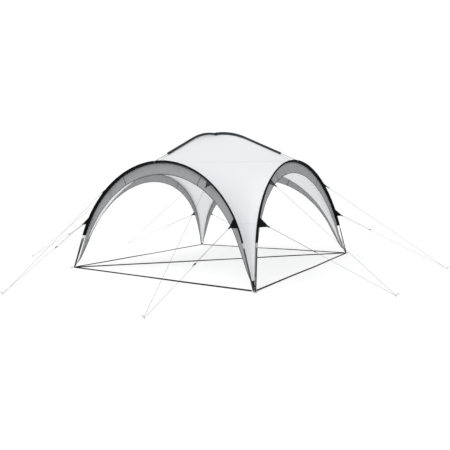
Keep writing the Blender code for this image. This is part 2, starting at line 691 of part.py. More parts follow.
def make_guys():
    for side in SIDES:
        for end, hand, spot in zip(ENDS[side], (-1, 1), PEG_SPOTS[side]):
            layout = guy_layout(side, hand, spot)
            route = guy_route(layout)
            add_part(f"guy_line_{side}_{end}", poly_curve("guy_line", route, CORD_RADIUS, 2), CORD_GREY)
            make_slider(f"guy_slider_{side}_{end}", layout)
            make_peg(f"ground_peg_{side}_{end}", layout)


clear_scene()
PARTS = bpy.data.collections.new("dome_shelter")
CUTTERS = bpy.data.collections.new("cutters")
bpy.context.scene.collection.children.link(PARTS)
bpy.context.scene.collection.children.link(CUTTERS)

frames = {}
for number, side_name in enumerate(SIDES):
    heading = QUARTER * number
    spot = Matrix.Rotation(heading, 4, "Z") @ Vector((0, -HALF_SIDE, 0))
    frames[side_name] = add_empty(f"{side_name}_side", spot, (-ARCH_LEAN, 0, heading))

make_bows(frames)
make_legs(frames)
make_roof_poles()
make_feet()
make_arch_sleeves(frames)
make_roof_sleeve()
make_valances(frames)
make_canopy()
make_straps()
make_guys()
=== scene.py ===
"""A square dome shelter: four leaning arches on straight legs, two roof poles that cross at the
top, a white canopy stretched between them, grey valances, ground straps and eight guy lines."""
import math

import bmesh
import bpy
import numpy as np
from mathutils import Matrix, Vector


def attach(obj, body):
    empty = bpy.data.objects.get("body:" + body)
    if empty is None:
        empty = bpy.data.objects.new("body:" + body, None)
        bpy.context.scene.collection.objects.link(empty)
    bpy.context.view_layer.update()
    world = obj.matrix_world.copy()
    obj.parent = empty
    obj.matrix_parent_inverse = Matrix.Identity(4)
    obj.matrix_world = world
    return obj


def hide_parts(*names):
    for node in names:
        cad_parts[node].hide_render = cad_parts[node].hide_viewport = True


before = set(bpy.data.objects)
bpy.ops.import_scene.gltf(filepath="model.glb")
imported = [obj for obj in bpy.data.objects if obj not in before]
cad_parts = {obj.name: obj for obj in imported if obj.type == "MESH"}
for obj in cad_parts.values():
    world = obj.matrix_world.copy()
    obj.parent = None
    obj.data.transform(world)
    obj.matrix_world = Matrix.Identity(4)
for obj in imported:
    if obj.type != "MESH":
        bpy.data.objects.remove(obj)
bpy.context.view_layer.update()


# ---------------------------------------------------------------------------------------------
# The view, the light and the floor.
# The camera stands off the front right corner at chest height, looking a little down, with the
# shelter in a plain white studio: an even sky and one broad lamp above.
scene = bpy.context.scene
CAMERA_PLACE = Vector((3.96343, -5.54572, 1.07597))
CAMERA_YAW = -0.602554
CAMERA_PITCH = 0.0657179
CAMERA_ROLL = -0.0238727
CAMERA_LENS = 30.62
SKY_LIGHT = 0.70
LAMP_LIGHT = 1.25
LAMP_SPREAD = math.radians(50)
LAMP_TURN = (math.radians(24), math.radians(-14), 0)
FLOOR_SIZE = 90.0
FLOOR_LEVEL = -0.0006               # just under what lies on it
FLOOR_FADE = (5.0, 16.0)            # from where to where it goes to white


def make_camera():
    heading = Vector((math.sin(CAMERA_YAW) * math.cos(CAMERA_PITCH),
                      math.cos(CAMERA_YAW) * math.cos(CAMERA_PITCH), -math.sin(CAMERA_PITCH)))
    right = Vector((math.cos(CAMERA_YAW), -math.sin(CAMERA_YAW), 0))
    up = right.cross(heading)
    x_way = right * math.cos(CAMERA_ROLL) + up * math.sin(CAMERA_ROLL)
    y_way = up * math.cos(CAMERA_ROLL) - right * math.sin(CAMERA_ROLL)
    place = Matrix((x_way, y_way, -heading)).transposed().to_4x4()
    place.translation = CAMERA_PLACE
    lens = bpy.data.cameras.new("view")
    lens.lens = CAMERA_LENS
    lens.sensor_width = 36
    camera = bpy.data.objects.new("view", lens)
    camera.matrix_world = place
    scene.collection.objects.link(camera)
    scene.camera = camera


def make_light():
    """A white backdrop, an even sky for what it lights, and a broad lamp from the upper left."""
    sky = bpy.data.worlds.new("studio")
    sky.use_nodes = True
    nodes, links = sky.node_tree.nodes, sky.node_tree.links
    backdrop = nodes.new("ShaderNodeBackground")
    backdrop.inputs["Color"].default_value = (1, 1, 1, 1)
    even = nodes["Background"]
    even.inputs["Color"].default_value = (0.985, 0.99, 1, 1)
    even.inputs["Strength"].default_value = SKY_LIGHT
    seen = nodes.new("ShaderNodeLightPath")
    either = nodes.new("ShaderNodeMixShader")
    links.new(seen.outputs["Is Camera Ray"], either.inputs["Fac"])
    links.new(even.outputs[0], either.inputs[1])
    links.new(backdrop.outputs[0], either.inputs[2])
    links.new(either.outputs[0], nodes["World Output"].inputs["Surface"])
    scene.world = sky
    lamp = bpy.data.lights.new("broad_lamp", "SUN")
    lamp.energy = LAMP_LIGHT
    lamp.angle = LAMP_SPREAD
    holder = bpy.data.objects.new("broad_lamp", lamp)
    holder.rotation_euler = LAMP_TURN
    scene.collection.objects.link(holder)
    scene.view_settings.view_transform = "Standard"


class Field:
    """A value worked out over a surface, so that maths on it reads as plain sums."""

    def __init__(self, finish, socket):
        self.finish = finish
        self.socket = socket

    def sum(self, operation, other=0.0, flip=False):
        pair = {0: other, 1: self} if flip else {0: self, 1: other}
        return self.finish.node("ShaderNodeMath", {"operation": operation}, pair)

    def __add__(self, other):
        return self.sum("ADD", other)

    def __sub__(self, other):
        return self.sum("SUBTRACT", other)

    def __rsub__(self, other):
        return self.sum("SUBTRACT", other, True)

    def __mul__(self, other):
        return self.sum("MULTIPLY", other)

    __radd__ = __add__
    __rmul__ = __mul__


class Finish:
    """A Principled material and a short way to add nodes to it."""

    def __init__(self, name, **fixed):
        self.material = bpy.data.materials.new(name)
        self.material.use_nodes = True
        self.tree = self.material.node_tree
        self.shader = self.tree.nodes["Principled BSDF"]
        for key, value in fixed.items():
            self.shader.inputs[key.replace("_", " ")].default_value = value

    def feed(self, socket, value):
        if isinstance(value, Field):
            self.tree.links.new(value.socket, socket)
        else:
            socket.default_value = value

    def node(self, kind, settings, sockets, output=0):
        made = self.tree.nodes.new(kind)
        for key, value in settings.items():
            setattr(made, key, value)
        for key, value in sockets.items():
            self.feed(made.inputs[key], value)
        return Field(self, made.outputs[output])

    def place(self, source, scale=(1, 1, 1), turn=0.0):
        """Object coordinates, or the piece's own UV map in metres, scaled and turned about Z."""
        where = self.node("ShaderNodeTexCoord", {}, {}, source)
        return self.node("ShaderNodeMapping", {},
                         {"Vector": where, "Scale": scale, "Rotation": (0, 0, turn)})

    def noise(self, where, scale, detail=3.0):
        return self.node("ShaderNodeTexNoise", {}, {"Vector": where, "Scale": scale, "Detail": detail})

    def wave(self, where, scale, direction="X"):
        settings = {"wave_type": "BANDS", "bands_direction": direction}
        return self.node("ShaderNodeTexWave", settings, {"Vector": where, "Scale": scale}, "Fac")

    def blend(self, amount, dark, light):
        mix = self.tree.nodes.new("ShaderNodeMix")
        mix.data_type = "RGBA"
        colour_sockets = [s for s in mix.inputs if s.type == "RGBA"]
        self.feed(mix.inputs[0], amount)
        self.feed(colour_sockets[0], dark)
        self.feed(colour_sockets[1], light)
        return Field(self, [s for s in mix.outputs if s.type == "RGBA"][0])

    def wear(self, colour=None, roughness=None, alpha=None, height=None, depth=0.001, strength=1.0):
        """Joins what changes over the surface to the shader."""
        for key, value in (("Base Color", colour), ("Roughness", roughness), ("Alpha", alpha)):
            if value is not None:
                self.feed(self.shader.inputs[key], value)
        if height is not None:
            bump = self.node("ShaderNodeBump", {},
                             {"Height": height, "Distance": depth, "Strength": strength})
            self.feed(self.shader.inputs["Normal"], bump)
        return self.material


def make_floor():
    """A pale floor that goes to white far off."""
    half = FLOOR_SIZE / 2
    mesh = bpy.data.meshes.new("floor")
    corners = [(x * half, y * half, FLOOR_LEVEL) for x, y in ((-1, -1), (1, -1), (1, 1), (-1, 1))]
    mesh.from_pydata(corners, [], [(0, 1, 2, 3)])
    floor = bpy.data.objects.new("floor", mesh)
    scene.collection.objects.link(floor)
    finish = Finish("pale_floor", Roughness=0.9, Specular_IOR_Level=0.0, Emission_Strength=1.0)
    reach = finish.node("ShaderNodeVectorMath", {"operation": "LENGTH"},
                        {0: finish.place("Object")}, "Value")
    near, far = FLOOR_FADE
    fade = finish.node("ShaderNodeMapRange", {"interpolation_type": "SMOOTHSTEP"},
                       {"Value": reach, "From Min": near, "From Max": far})
    base = finish.blend(fade, (0.36, 0.36, 0.36, 1), (0.0, 0.0, 0.0, 1))
    glow = finish.blend(fade, (0.66, 0.66, 0.66, 1), (1.0, 1.0, 1.0, 1))
    finish.feed(finish.shader.inputs["Emission Color"], glow)
    mesh.materials.append(finish.wear(colour=base))


make_camera()
make_light()
make_floor()


# ---------------------------------------------------------------------------------------------
# The guy lines.
# Eight lengths of 3 mm braided cord. Each is tied to the upper patch of an arch, goes round its
# peg, up through the slider to the lower patch, and back through the slider to a stopper knot.
SHELTER = "shelter"                 # the body that every piece of this script rides on
SIDES = ("front", "right", "back", "left")
ENDS = {"front": ("left", "right"), "right": ("front", "back"),
        "back": ("right", "left"), "left": ("back", "front")}
QUARTER = math.radians(90)
FOOTPRINT = 3.5
ARCH_HEIGHT = 1.665
ARCH_LEAN = math.radians(7.6)
LEG_ANGLE = math.radians(72)
LEG_INSET = 0.018
SLEEVE_RADIUS = 0.0175
LOWER_PATCH = (0.78, 0.92, 0.105)   # from and to along the arch, and how far it stands out
UPPER_PATCH = (1.48, 1.585, 0.075)
TAB_LENGTH = 0.030
TAB_HALF_WIDTH = 0.010
PATCH_AIM = (1.12, 1.68)            # the spot on the ground that the patches point to
CORD_RADIUS = 0.0015
CORD_BEND = 0.0065
CORD_STEPS = 2
CORD_LEAD = 0.05
CORD_LEAD_IN = 0.008
SLIDER_TAIL = 0.030
PEG_RADIUS = 0.003
PEG_LEAN = math.radians(18)
PEG_LOOP_HEIGHT = 0.016
PEG_SPOTS = {                       # along the side, out from it, and the slider's drop
    "front": ((-0.82, 1.58, 0.70), (1.38, 1.38, 0.70)),
    "right": ((-1.22, 1.42, 0.60), (0.74, 1.74, 0.60)),
    "back": ((-1.15, 1.65, 0.70), (1.15, 1.65, 0.70)),
    "left": ((-1.20, 1.98, 0.70), (1.36, 1.96, 0.60)),
}
GAP = 0.0003
HALF_SIDE = FOOTPRINT / 2
HALF_SPAN = HALF_SIDE - LEG_INSET
TURN = (1 - math.cos(LEG_ANGLE)) / math.sin(LEG_ANGLE)
LEG_STRAIGHT = (ARCH_HEIGHT - HALF_SPAN * TURN) / (math.sin(LEG_ANGLE) - math.cos(LEG_ANGLE) * TURN)
BOW_BEND = (HALF_SPAN - LEG_STRAIGHT * math.cos(LEG_ANGLE)) / math.sin(LEG_ANGLE)
ARCH_HALF = LEG_STRAIGHT + BOW_BEND * LEG_ANGLE


def arch_point(along, inward=0.0, out=0.0):
    """A point in a side's own plane: along the arch from its left foot, inward towards the
    doorway, and out away from the floor's middle."""
    left = along < ARCH_HALF
    climb = along if left else 2 * ARCH_HALF - along
    if climb < LEG_STRAIGHT:
        angle = LEG_ANGLE
        x = HALF_SPAN - climb * math.cos(LEG_ANGLE)
        z = climb * math.sin(LEG_ANGLE)
    else:
        angle = LEG_ANGLE - (climb - LEG_STRAIGHT) / BOW_BEND
        x = BOW_BEND * math.sin(angle)
        z = ARCH_HEIGHT - BOW_BEND * (1 - math.cos(angle))
    x -= inward * math.sin(angle)
    z -= inward * math.cos(angle)
    return Vector((-x if left else x, -out, z))


def side_matrix(side):
    """From a side's own plane to the world."""
    turn = Matrix.Rotation(QUARTER * SIDES.index(side), 4, "Z")
    return turn @ Matrix.Translation((0, -HALF_SIDE, 0)) @ Matrix.Rotation(-ARCH_LEAN, 4, "X")


def patch_frame(patch, hand):
    """The patch's base middle, the arch's direction there, and the way the patch points."""
    bottom, top, _ = patch
    spots = [s if hand < 0 else 2 * ARCH_HALF - s for s in (bottom, (bottom + top) / 2, top)]
    low, root, high = [arch_point(s) for s in spots]
    along, out = PATCH_AIM
    aim = Matrix.Rotation(ARCH_LEAN, 3, "X") @ Vector((hand * along, -out, 0))
    return root, (high - low).normalized(), (aim - root).normalized()


def tab_end(patch, hand):
    root, _, point = patch_frame(patch, hand)
    return root + point * (SLEEVE_RADIUS + patch[2] + TAB_LENGTH)


def smooth_line(points, steps):
    """Points read from a smooth curve through the given ones, with the same steps in each stretch."""
    line = []
    ends = [points[0] * 2 - points[1]] + list(points) + [points[-1] * 2 - points[-2]]
    for k in range(len(points) - 1):
        a, b, c, d = ends[k:k + 4]
        t1 = (b - a).length ** 0.5
        t2 = t1 + (c - b).length ** 0.5
        t3 = t2 + (d - c).length ** 0.5
        for step in range(steps):
            t = t1 + (t2 - t1) * step / steps
            ab = a * ((t1 - t) / t1) + b * (t / t1)
            bc = b * ((t2 - t) / (t2 - t1)) + c * ((t - t1) / (t2 - t1))
            cd = c * ((t3 - t) / (t3 - t2)) + d * ((t - t2) / (t3 - t2))
            abc = ab * ((t2 - t) / t2) + bc * (t / t2)
            bcd = bc * ((t3 - t) / (t3 - t1)) + cd * ((t - t1) / (t3 - t1))
            line.append(abc * ((t2 - t) / (t2 - t1)) + bcd * ((t - t1) / (t2 - t1)))
    line.append(points[-1])
    return line


def guy_layout(side, hand, spot):
    """The points that one guy line joins: both tab ends, its loop round the peg, and its slider."""
    along, out, slider_drop = spot
    place = side_matrix(side)
    upper = place @ tab_end(UPPER_PATCH, hand)
    lower = place @ tab_end(LOWER_PATCH, hand)
    turn = Matrix.Rotation(QUARTER * SIDES.index(side), 4, "Z")
    peg = turn @ Vector((along, -HALF_SIDE - out, 0))
    away = Vector((peg.x - lower.x, peg.y - lower.y, 0)).normalized()
    rod = peg + away * (PEG_LOOP_HEIGHT * math.tan(PEG_LEAN)) + Vector((0, 0, PEG_LOOP_HEIGHT))
    loop = rod - away * (CORD_BEND - CORD_RADIUS - PEG_RADIUS / math.cos(PEG_LEAN) - GAP)
    run = (lower - loop).normalized()
    across = Vector((0, 0, 1)).cross(run).normalized()
    if across.dot(upper - loop) > 0:
        across = -across
    turn_back = lower - run * (CORD_BEND + CORD_RADIUS + GAP)
    slider = turn_back - run * slider_drop
    return {"upper": upper, "lower": lower, "loop": loop, "run": run, "across": across,
            "turn_back": turn_back, "slider": slider}


def half_loop(middle, across, round_way):
    """Five points of a half turn of cord, from one side of its middle to the other."""
    angles = [QUARTER * k / 2 for k in range(5)]
    return [middle + across * (CORD_BEND * math.cos(a)) + round_way * (CORD_BEND * math.sin(a))
            for a in angles]


def straight_run(start, end):
    """A straight stretch of cord between two bends, with points close to each end."""
    way = (end - start).normalized()
    return [start + way * CORD_LEAD_IN, start + way * CORD_LEAD, start.lerp(end, 0.5),
            end - way * CORD_LEAD, end - way * CORD_LEAD_IN]


def guy_route(layout):
    run, across, loop, turn_back = (layout[key] for key in ("run", "across", "loop", "turn_back"))
    beside = across * CORD_BEND
    drop = (loop - beside - layout["upper"]).normalized()
    start = layout["upper"] + drop * (CORD_RADIUS + GAP)
    tail = layout["slider"] - beside - run * SLIDER_TAIL
    points = [start, *straight_run(start, loop - beside)[1:]]
    points += half_loop(loop, -across, -run)
    points += straight_run(loop + beside, turn_back + beside)
    points += half_loop(turn_back, across, run)
    points += [*straight_run(turn_back - beside, tail)[:3], tail]
    return smooth_line(points, CORD_STEPS)


def add_piece(name, mesh, material, replaced=(), cloth=None, cloth_side=0.0):
    """A finished piece at the origin, which rides on the shelter. Cloth gives a sheet its
    thickness: half each way, or all of it on the inside where cloth_side is -1."""
    mesh.materials.append(material)
    piece = bpy.data.objects.new(name, mesh)
    scene.collection.objects.link(piece)
    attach(piece, SHELTER)
    if cloth:
        wall = piece.modifiers.new("cloth", "SOLIDIFY")
        wall.thickness = cloth
        wall.offset = cloth_side
        wall.use_even_offset = True
    if replaced:
        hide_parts(*replaced)
    return piece


def plain_mesh(shape, name):
    mesh = bpy.data.meshes.new(name)
    shape.to_mesh(mesh)
    shape.free()
    return mesh


def swept_mesh(name, line, side_way, section, capped=True, skip=None):
    """A skin over a line. The section at each point is a closed loop of (x, y) offsets, with x
    along the side way and y square to it. The UV map is in metres, round and along."""
    shape = bmesh.new()
    uv = shape.loops.layers.uv.new("metres")
    rings = []
    lengths = [0.0]
    count = len(line)
    way = None
    for k, point in enumerate(line):
        ahead = (line[min(k + 1, count - 1)] - line[max(k - 1, 0)]).normalized()
        way = side_way(k) if callable(side_way) else (way or side_way)
        way = (way - ahead * way.dot(ahead)).normalized()
        up = ahead.cross(way)
        rings.append([shape.verts.new(point + way * x + up * y) for x, y in section(k)])
        if k:
            lengths.append(lengths[-1] + (point - line[k - 1]).length)
    sides = len(rings[0])
    first = section(0)
    rounds = [0.0]
    for j in range(sides):
        (x0, y0), (x1, y1) = first[j], first[(j + 1) % sides]
        rounds.append(rounds[-1] + math.hypot(x1 - x0, y1 - y0))
    for k in range(count - 1):
        for j in range(sides):
            if skip and skip(k, j):
                continue
            n = (j + 1) % sides
            face = shape.faces.new((rings[k][j], rings[k][n], rings[k + 1][n], rings[k + 1][j]))
            face.smooth = True
            corners = ((j, k), (j + 1, k), (j + 1, k + 1), (j, k + 1))
            for loop, (a, b) in zip(face.loops, corners):
                loop[uv].uv = (rounds[a], lengths[b])
    if capped:
        shape.faces.new(list(reversed(rings[0])))
        shape.faces.new(rings[-1])
    loose = [v for v in shape.verts if not v.link_faces]
    bmesh.ops.delete(shape, geom=loose, context="VERTS")
    return plain_mesh(shape, name)


def round_section(radius, sides):
    angles = [2 * math.pi * j / sides for j in range(sides)]
    ring = [(radius * math.cos(a), radius * math.sin(a)) for a in angles]
    return lambda k: ring


def braided_cord():
    """Light grey braid: two sets of strands that wind round the cord and cross."""
    finish = Finish("guy_cord", Roughness=0.75)
    strands = finish.wave(finish.place("UV", turn=math.radians(38)), 260)
    crossing = finish.wave(finish.place("UV", turn=math.radians(-38)), 260)
    braid = strands.sum("MAXIMUM", crossing)
    stain = finish.noise(finish.place("Object"), 9)
    shade = finish.blend(braid * 0.7 + stain * 0.3, (0.06, 0.06, 0.06, 1), (0.21, 0.21, 0.207, 1))
    return finish.wear(colour=shade, roughness=0.85 - 0.2 * braid, height=braid, depth=0.0004)


CORD_SIDES = 10
KNOT_SIZE = 0.0017
KNOT_STEPS = 44
KNOT_SIDES = 8
KNOT_ENDS = (0.03, 0.4)             # steps left out before the first and after the last
KNOT_WAY = Vector((0.3, 0.5, 0.81))
TIE_REACH = 0.008                   # from the ring to the middle of the tie knot
guy_cord = braided_cord()


def knot_mesh(middle, way):
    """An overhand knot: cord that loops through itself, pulled into a small bulb."""
    turn = way.to_track_quat("Z", "Y").to_matrix()
    line = []
    for k in range(KNOT_STEPS):
        t = 2 * math.pi * (k + KNOT_ENDS[0]) / (KNOT_STEPS + KNOT_ENDS[1])
        spot = Vector((math.sin(t) + 2 * math.sin(2 * t), math.cos(t) - 2 * math.cos(2 * t),
                       -1.2 * math.sin(3 * t)))
        line.append(middle + turn @ (spot * KNOT_SIZE))
    return swept_mesh("knot", line, KNOT_WAY, round_section(CORD_RADIUS, KNOT_SIDES))


guys = {}
for side in SIDES:
    for end, hand, spot in zip(ENDS[side], (-1, 1), PEG_SPOTS[side]):
        layout = guy_layout(side, hand, spot)
        route = guy_route(layout)
        tag = f"{side}_{end}"
        first_way = (route[1] - route[0]).normalized()
        last_way = (route[-1] - route[-2]).normalized()
        mesh = swept_mesh("cord", route, Vector((0, 0, 1)), round_section(CORD_RADIUS, CORD_SIDES))
        line_piece = add_piece(f"cord_{tag}", mesh, guy_cord, [f"guy_line_{tag}"])
        tie = add_piece(f"tie_knot_{tag}", knot_mesh(route[0] + first_way * TIE_REACH, first_way),
                        guy_cord)
        stop = add_piece(f"stopper_knot_{tag}", knot_mesh(route[-1], last_way), guy_cord)
        length = sum((b - a).length for a, b in zip(route, route[1:]))
        guys[tag] = layout


# ---------------------------------------------------------------------------------------------
# The poles and the feet.
# Steel leg tubes with a dark coat, bent glass-fibre bows and roof poles in light grey, and zinc
# feet with their pins and eyes. They are the frame's own solids, with their finishes here.
def coated_steel():
    """Dark paint with fine orange peel, scuffed lighter here and there."""
    finish = Finish("coated_steel", Metallic=0.35)
    where = finish.place("Object")
    peel = finish.noise(where, 900, 2)
    scuff = finish.noise(finish.place("Object", (1, 1, 0.2)), 60, 6).sum("POWER", 4)
    shade = finish.blend(scuff * 3, (0.035, 0.038, 0.042, 1), (0.16, 0.165, 0.17, 1))
    return finish.wear(colour=shade, roughness=0.34 + scuff * 1.2,
                       height=peel, depth=0.0002, strength=0.4)


def glass_fibre():
    """Light grey pultruded rod: long fine streaks under a satin skin."""
    finish = Finish("glass_fibre", Coat_Weight=0.25)
    streak = finish.noise(finish.place("Object"), 420, 4)
    patch = finish.noise(finish.place("Object"), 12, 2)
    shade = finish.blend(streak * 0.6 + patch * 0.4, (0.40, 0.42, 0.42, 1), (0.62, 0.64, 0.64, 1))
    return finish.wear(colour=shade, roughness=0.30 + streak * 0.25,
                       height=streak, depth=0.0002, strength=0.3)


def plated_metal(name, dark, light):
    """Plated metal with a fine spangle and soft scratches."""
    finish = Finish(name, Metallic=0.9)
    where = finish.place("Object")
    spangle = finish.node("ShaderNodeTexVoronoi", {}, {"Vector": where, "Scale": 240}, "Distance")
    scratch = finish.noise(finish.place("Object", (1, 8, 1)), 160, 5)
    shade = finish.blend(spangle * 0.8 + scratch * 0.4, dark, light)
    return finish.wear(colour=shade, roughness=0.26 + scratch * 0.3,
                       height=scratch, depth=0.0002, strength=0.5)


def moulded_nylon():
    """Black moulded nylon, finely grained, a little grey where cord has run."""
    finish = Finish("moulded_nylon")
    grain = finish.noise(finish.place("Object"), 1500, 3)
    rub = finish.noise(finish.place("Object"), 90, 4)
    shade = finish.blend(rub, (0.012, 0.012, 0.013, 1), (0.05, 0.05, 0.052, 1))
    return finish.wear(colour=shade, roughness=0.42 + grain * 0.25,
                       height=grain, depth=0.0003, strength=0.6)


NODE_FINISHES = {
    "leg_": coated_steel(),
    "arch_bow_": glass_fibre(),
    "corner_foot_": plated_metal("zinc_plate", (0.50, 0.53, 0.53, 1), (0.78, 0.81, 0.81, 1)),
    "ground_peg_": plated_metal("peg_plate", (0.34, 0.34, 0.35, 1), (0.62, 0.62, 0.63, 1)),
    "guy_slider_": moulded_nylon(),
}
NODE_FINISHES["roof_pole_"] = NODE_FINISHES["arch_bow_"]
for name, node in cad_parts.items():
    for start, material in NODE_FINISHES.items():
        if name.startswith(start):
            for holder in node.material_slots:
                holder.material = material


# ---------------------------------------------------------------------------------------------
# The arch sleeves.
# A tube of black woven polyester round each bow, drawn out into a flat tail. The canopy and the
# valance are both sewn into the tail's edge. The tube is cut open at the crown for the roof pole.
SLEEVE_START = LEG_STRAIGHT + 0.0253
SLEEVE_WINDOW = 0.022               # half the length of the cut at the crown
WINDOW_ROUND = (0.52, 0.97)         # the cut's share of the way round, over the top
SLEEVE_STEP = 0.024
SLEEVE_CLOTH = 0.0008
SLEEVE_SIDES = 30
TUBE_RADIUS = 0.0118                # the round part of the sleeve, over the bow
SEAM_BACK = 0.036                   # the seam at the tail's edge: back from the bow,
SEAM_INWARD = 0.020                 # and inward to the doorway
SEAM_CLOSES = (0.16, 0.7)           # where it nears the leg's foot, and how quickly
TAIL_THIN = 0.90                    # how much of the tube's depth the tail loses
TAIL_POWER = 1.2
HEM_WIDTH = 0.018
HEM_STOP = 0.017
HEM_FOLD = 0.0008


def weave(finish, count, turn=0.0):
    """Over-and-under threads in a piece's own UV map: count threads to the metre each way."""
    where = finish.place("UV", turn=turn)
    warp = finish.wave(where, count / 6.2832)
    weft = finish.wave(where, count / 6.2832, "Y")
    return warp * weft + (1 - warp) * (1 - weft)


def woven_cloth(name, dark, light, count, roughness=0.86, sheen=0.02, stain=0.5):
    """Plain woven cloth: threads, a slow change of shade, and dust that lifts the roughness."""
    finish = Finish(name, Sheen_Weight=sheen, Specular_IOR_Level=0.08)
    threads = weave(finish, count)
    slow = finish.noise(finish.place("Object"), 3.2, 4)
    fine = finish.noise(finish.place("Object"), 60, 3)
    shade = finish.blend(threads * (1 - stain) + slow * stain, dark, light)
    return finish.wear(colour=shade, roughness=roughness + fine * 0.12 - threads * 0.06,
                       height=threads + fine * 0.6, depth=0.0004, strength=0.8)


def sleeve_section(along):
    """The sleeve's outline round the bow: x out from the shelter, y towards the doorway."""
    ring = []
    from_end = min(along - SLEEVE_START, 2 * ARCH_HALF - SLEEVE_START - along)
    hem = HEM_FOLD if from_end < HEM_WIDTH else 0.0
    for j in range(SLEEVE_SIDES):
        a = 2 * math.pi * j / SLEEVE_SIDES
        slack = (0.0003 * math.sin(along * 34 + 1.7 * math.sin(a))
                 + 0.0002 * math.sin(along * 83 + 2 * a))
        radius = TUBE_RADIUS + hem + slack
        back = max(0.0, -math.cos(a))
        x = radius * math.cos(a) - (SEAM_BACK - radius) * back * back
        y = radius * math.sin(a) * (1 - TAIL_THIN * back ** TAIL_POWER) + SEAM_INWARD * back * back
        ring.append((x, y))
    return ring


def seam_point(along, inward=0.0, out=0.0):
    """A point measured from the seam at the tail's edge, which closes on the leg near the foot."""
    climb = min(along, 2 * ARCH_HALF - along)
    low, power = SEAM_CLOSES
    share = min(1.0, climb / low) ** power
    return arch_point(along, SEAM_INWARD * share + inward, out - SEAM_BACK * share)


def arch_steps(start, step):
    count = round((2 * ARCH_HALF - 2 * start) / step)
    return [start + (2 * ARCH_HALF - 2 * start) * k / count for k in range(count + 1)]


sleeve_black = woven_cloth("sleeve_black", (0.0020, 0.0022, 0.0025, 1),
                           (0.0080, 0.0085, 0.0095, 1), 700)
sleeve_stops = sorted(arch_steps(SLEEVE_START, SLEEVE_STEP)
                      + [ARCH_HALF - SLEEVE_WINDOW, ARCH_HALF + SLEEVE_WINDOW,
                         SLEEVE_START + HEM_STOP, 2 * ARCH_HALF - SLEEVE_START - HEM_STOP])


def in_window(k, j):
    middle = (sleeve_stops[k] + sleeve_stops[k + 1]) / 2
    round_way = (j + 0.5) / SLEEVE_SIDES
    start, end = WINDOW_ROUND
    return abs(middle - ARCH_HALF) < SLEEVE_WINDOW and start < round_way < end


for side in SIDES:
    place = side_matrix(side)
    outward = place.to_3x3() @ Vector((0, -1, 0))
    line = [place @ arch_point(s) for s in sleeve_stops]
    mesh = swept_mesh("sleeve", line, outward, lambda k: sleeve_section(sleeve_stops[k]),
                      capped=False, skip=in_window)
    add_piece(f"sleeve_{side}", mesh, sleeve_black, [f"arch_sleeve_{side}"],
              SLEEVE_CLOTH, -1)


# ---------------------------------------------------------------------------------------------
# The guy patches.
# Doubled triangles of the sleeve cloth, sewn to the sleeve and bound at the edges, each with a
# webbing tab at its point that holds a small steel ring for the guy line.
PATCH_CLOTH = 0.0022
BINDING = 0.0016
PATCH_ROOT = 0.004                  # the patch's base stands this far out from the bow's middle
TAB_CLOTH = 0.0014
TAB_SEWN = 0.03                     # how far the tab lies on the patch
TAB_OPEN = 0.0026                   # half the gap in the tab's fold
RING_WIRE = 0.0011
RING_RADIUS = 0.0060
RING_STEPS = 20
RING_SIDES = 8
SORTING_WAY = Vector((1, 0.618, 7.3))       # no two corners of a patch are level along it


def flat_piece(name, outline, thickness, place):
    """A flat closed outline with a thickness, in the XY plane of a placing matrix."""
    shape = bmesh.new()
    uv = shape.loops.layers.uv.new("metres")
    verts = [shape.verts.new((x, y, 0)) for x, y in outline]
    shape.faces.new(verts)
    bmesh.ops.triangulate(shape, faces=shape.faces)
    for face in shape.faces:
        for loop in face.loops:
            loop[uv].uv = loop.vert.co.xy
    made = bmesh.ops.extrude_face_region(shape, geom=list(shape.faces))
    lift = [v for v in made["geom"] if isinstance(v, bmesh.types.BMVert)]
    bmesh.ops.translate(shape, verts=lift, vec=(0, 0, thickness))
    bmesh.ops.translate(shape, verts=shape.verts, vec=(0, 0, -thickness / 2))
    bmesh.ops.recalc_face_normals(shape, faces=shape.faces)
    shape.verts.sort(key=lambda v: v.co.dot(SORTING_WAY))      # extruding leaves them in any order
    shape.faces.sort(key=lambda f: f.calc_center_median().dot(SORTING_WAY))
    mesh = plain_mesh(shape, name)
    mesh.transform(place)
    return mesh


def frame_along(axis, across, origin):
    x_axis = axis.normalized()
    z_axis = x_axis.cross(across).normalized()
    y_axis = z_axis.cross(x_axis)
    place = Matrix((x_axis, y_axis, z_axis)).transposed().to_4x4()
    place.translation = origin
    return place


def ribbon_section(width, thickness):
    """A flat band with rounded edges: x across, y through."""
    half, lip = width / 2, thickness / 2
    ring = [(half, 0), (half - lip * 0.5, lip), (0, lip), (-half + lip * 0.5, lip), (-half, 0),
            (-half + lip * 0.5, -lip), (0, -lip), (half - lip * 0.5, -lip)]
    return lambda k: ring


def ring_mesh(middle, first, second):
    """A closed wire ring in the plane of two directions."""
    shape = bmesh.new()
    square = first.cross(second).normalized()
    wire_turns = [2 * math.pi * j / RING_SIDES for j in range(RING_SIDES)]
    loops = []
    for k in range(RING_STEPS):
        a = 2 * math.pi * k / RING_STEPS
        spot = middle + first * (RING_RADIUS * math.cos(a)) + second * (RING_RADIUS * math.sin(a))
        out = (spot - middle).normalized()
        loops.append([shape.verts.new(spot + out * (RING_WIRE * math.cos(b))
                                      + square * (RING_WIRE * math.sin(b))) for b in wire_turns])
    for k, low in enumerate(loops):
        high = loops[(k + 1) % RING_STEPS]
        for j in range(RING_SIDES):
            n = (j + 1) % RING_SIDES
            shape.faces.new((low[j], high[j], high[n], low[n])).smooth = True
    bmesh.ops.recalc_face_normals(shape, faces=shape.faces)
    return plain_mesh(shape, "ring")


def tab_band(start, end, normal):
    """The tab's route: out over the patch, round through the ring and back under it."""
    way = (end - start).normalized()
    over = ((start, TAB_OPEN), (start.lerp(end, 0.45), TAB_OPEN), (start.lerp(end, 0.75), 0.0032),
            (end - way * 0.006, 0.0034), (end, TAB_OPEN))
    return ([spot + normal * lift for spot, lift in over] + [end + way * 0.0018]
            + [spot - normal * lift for spot, lift in reversed(over)])


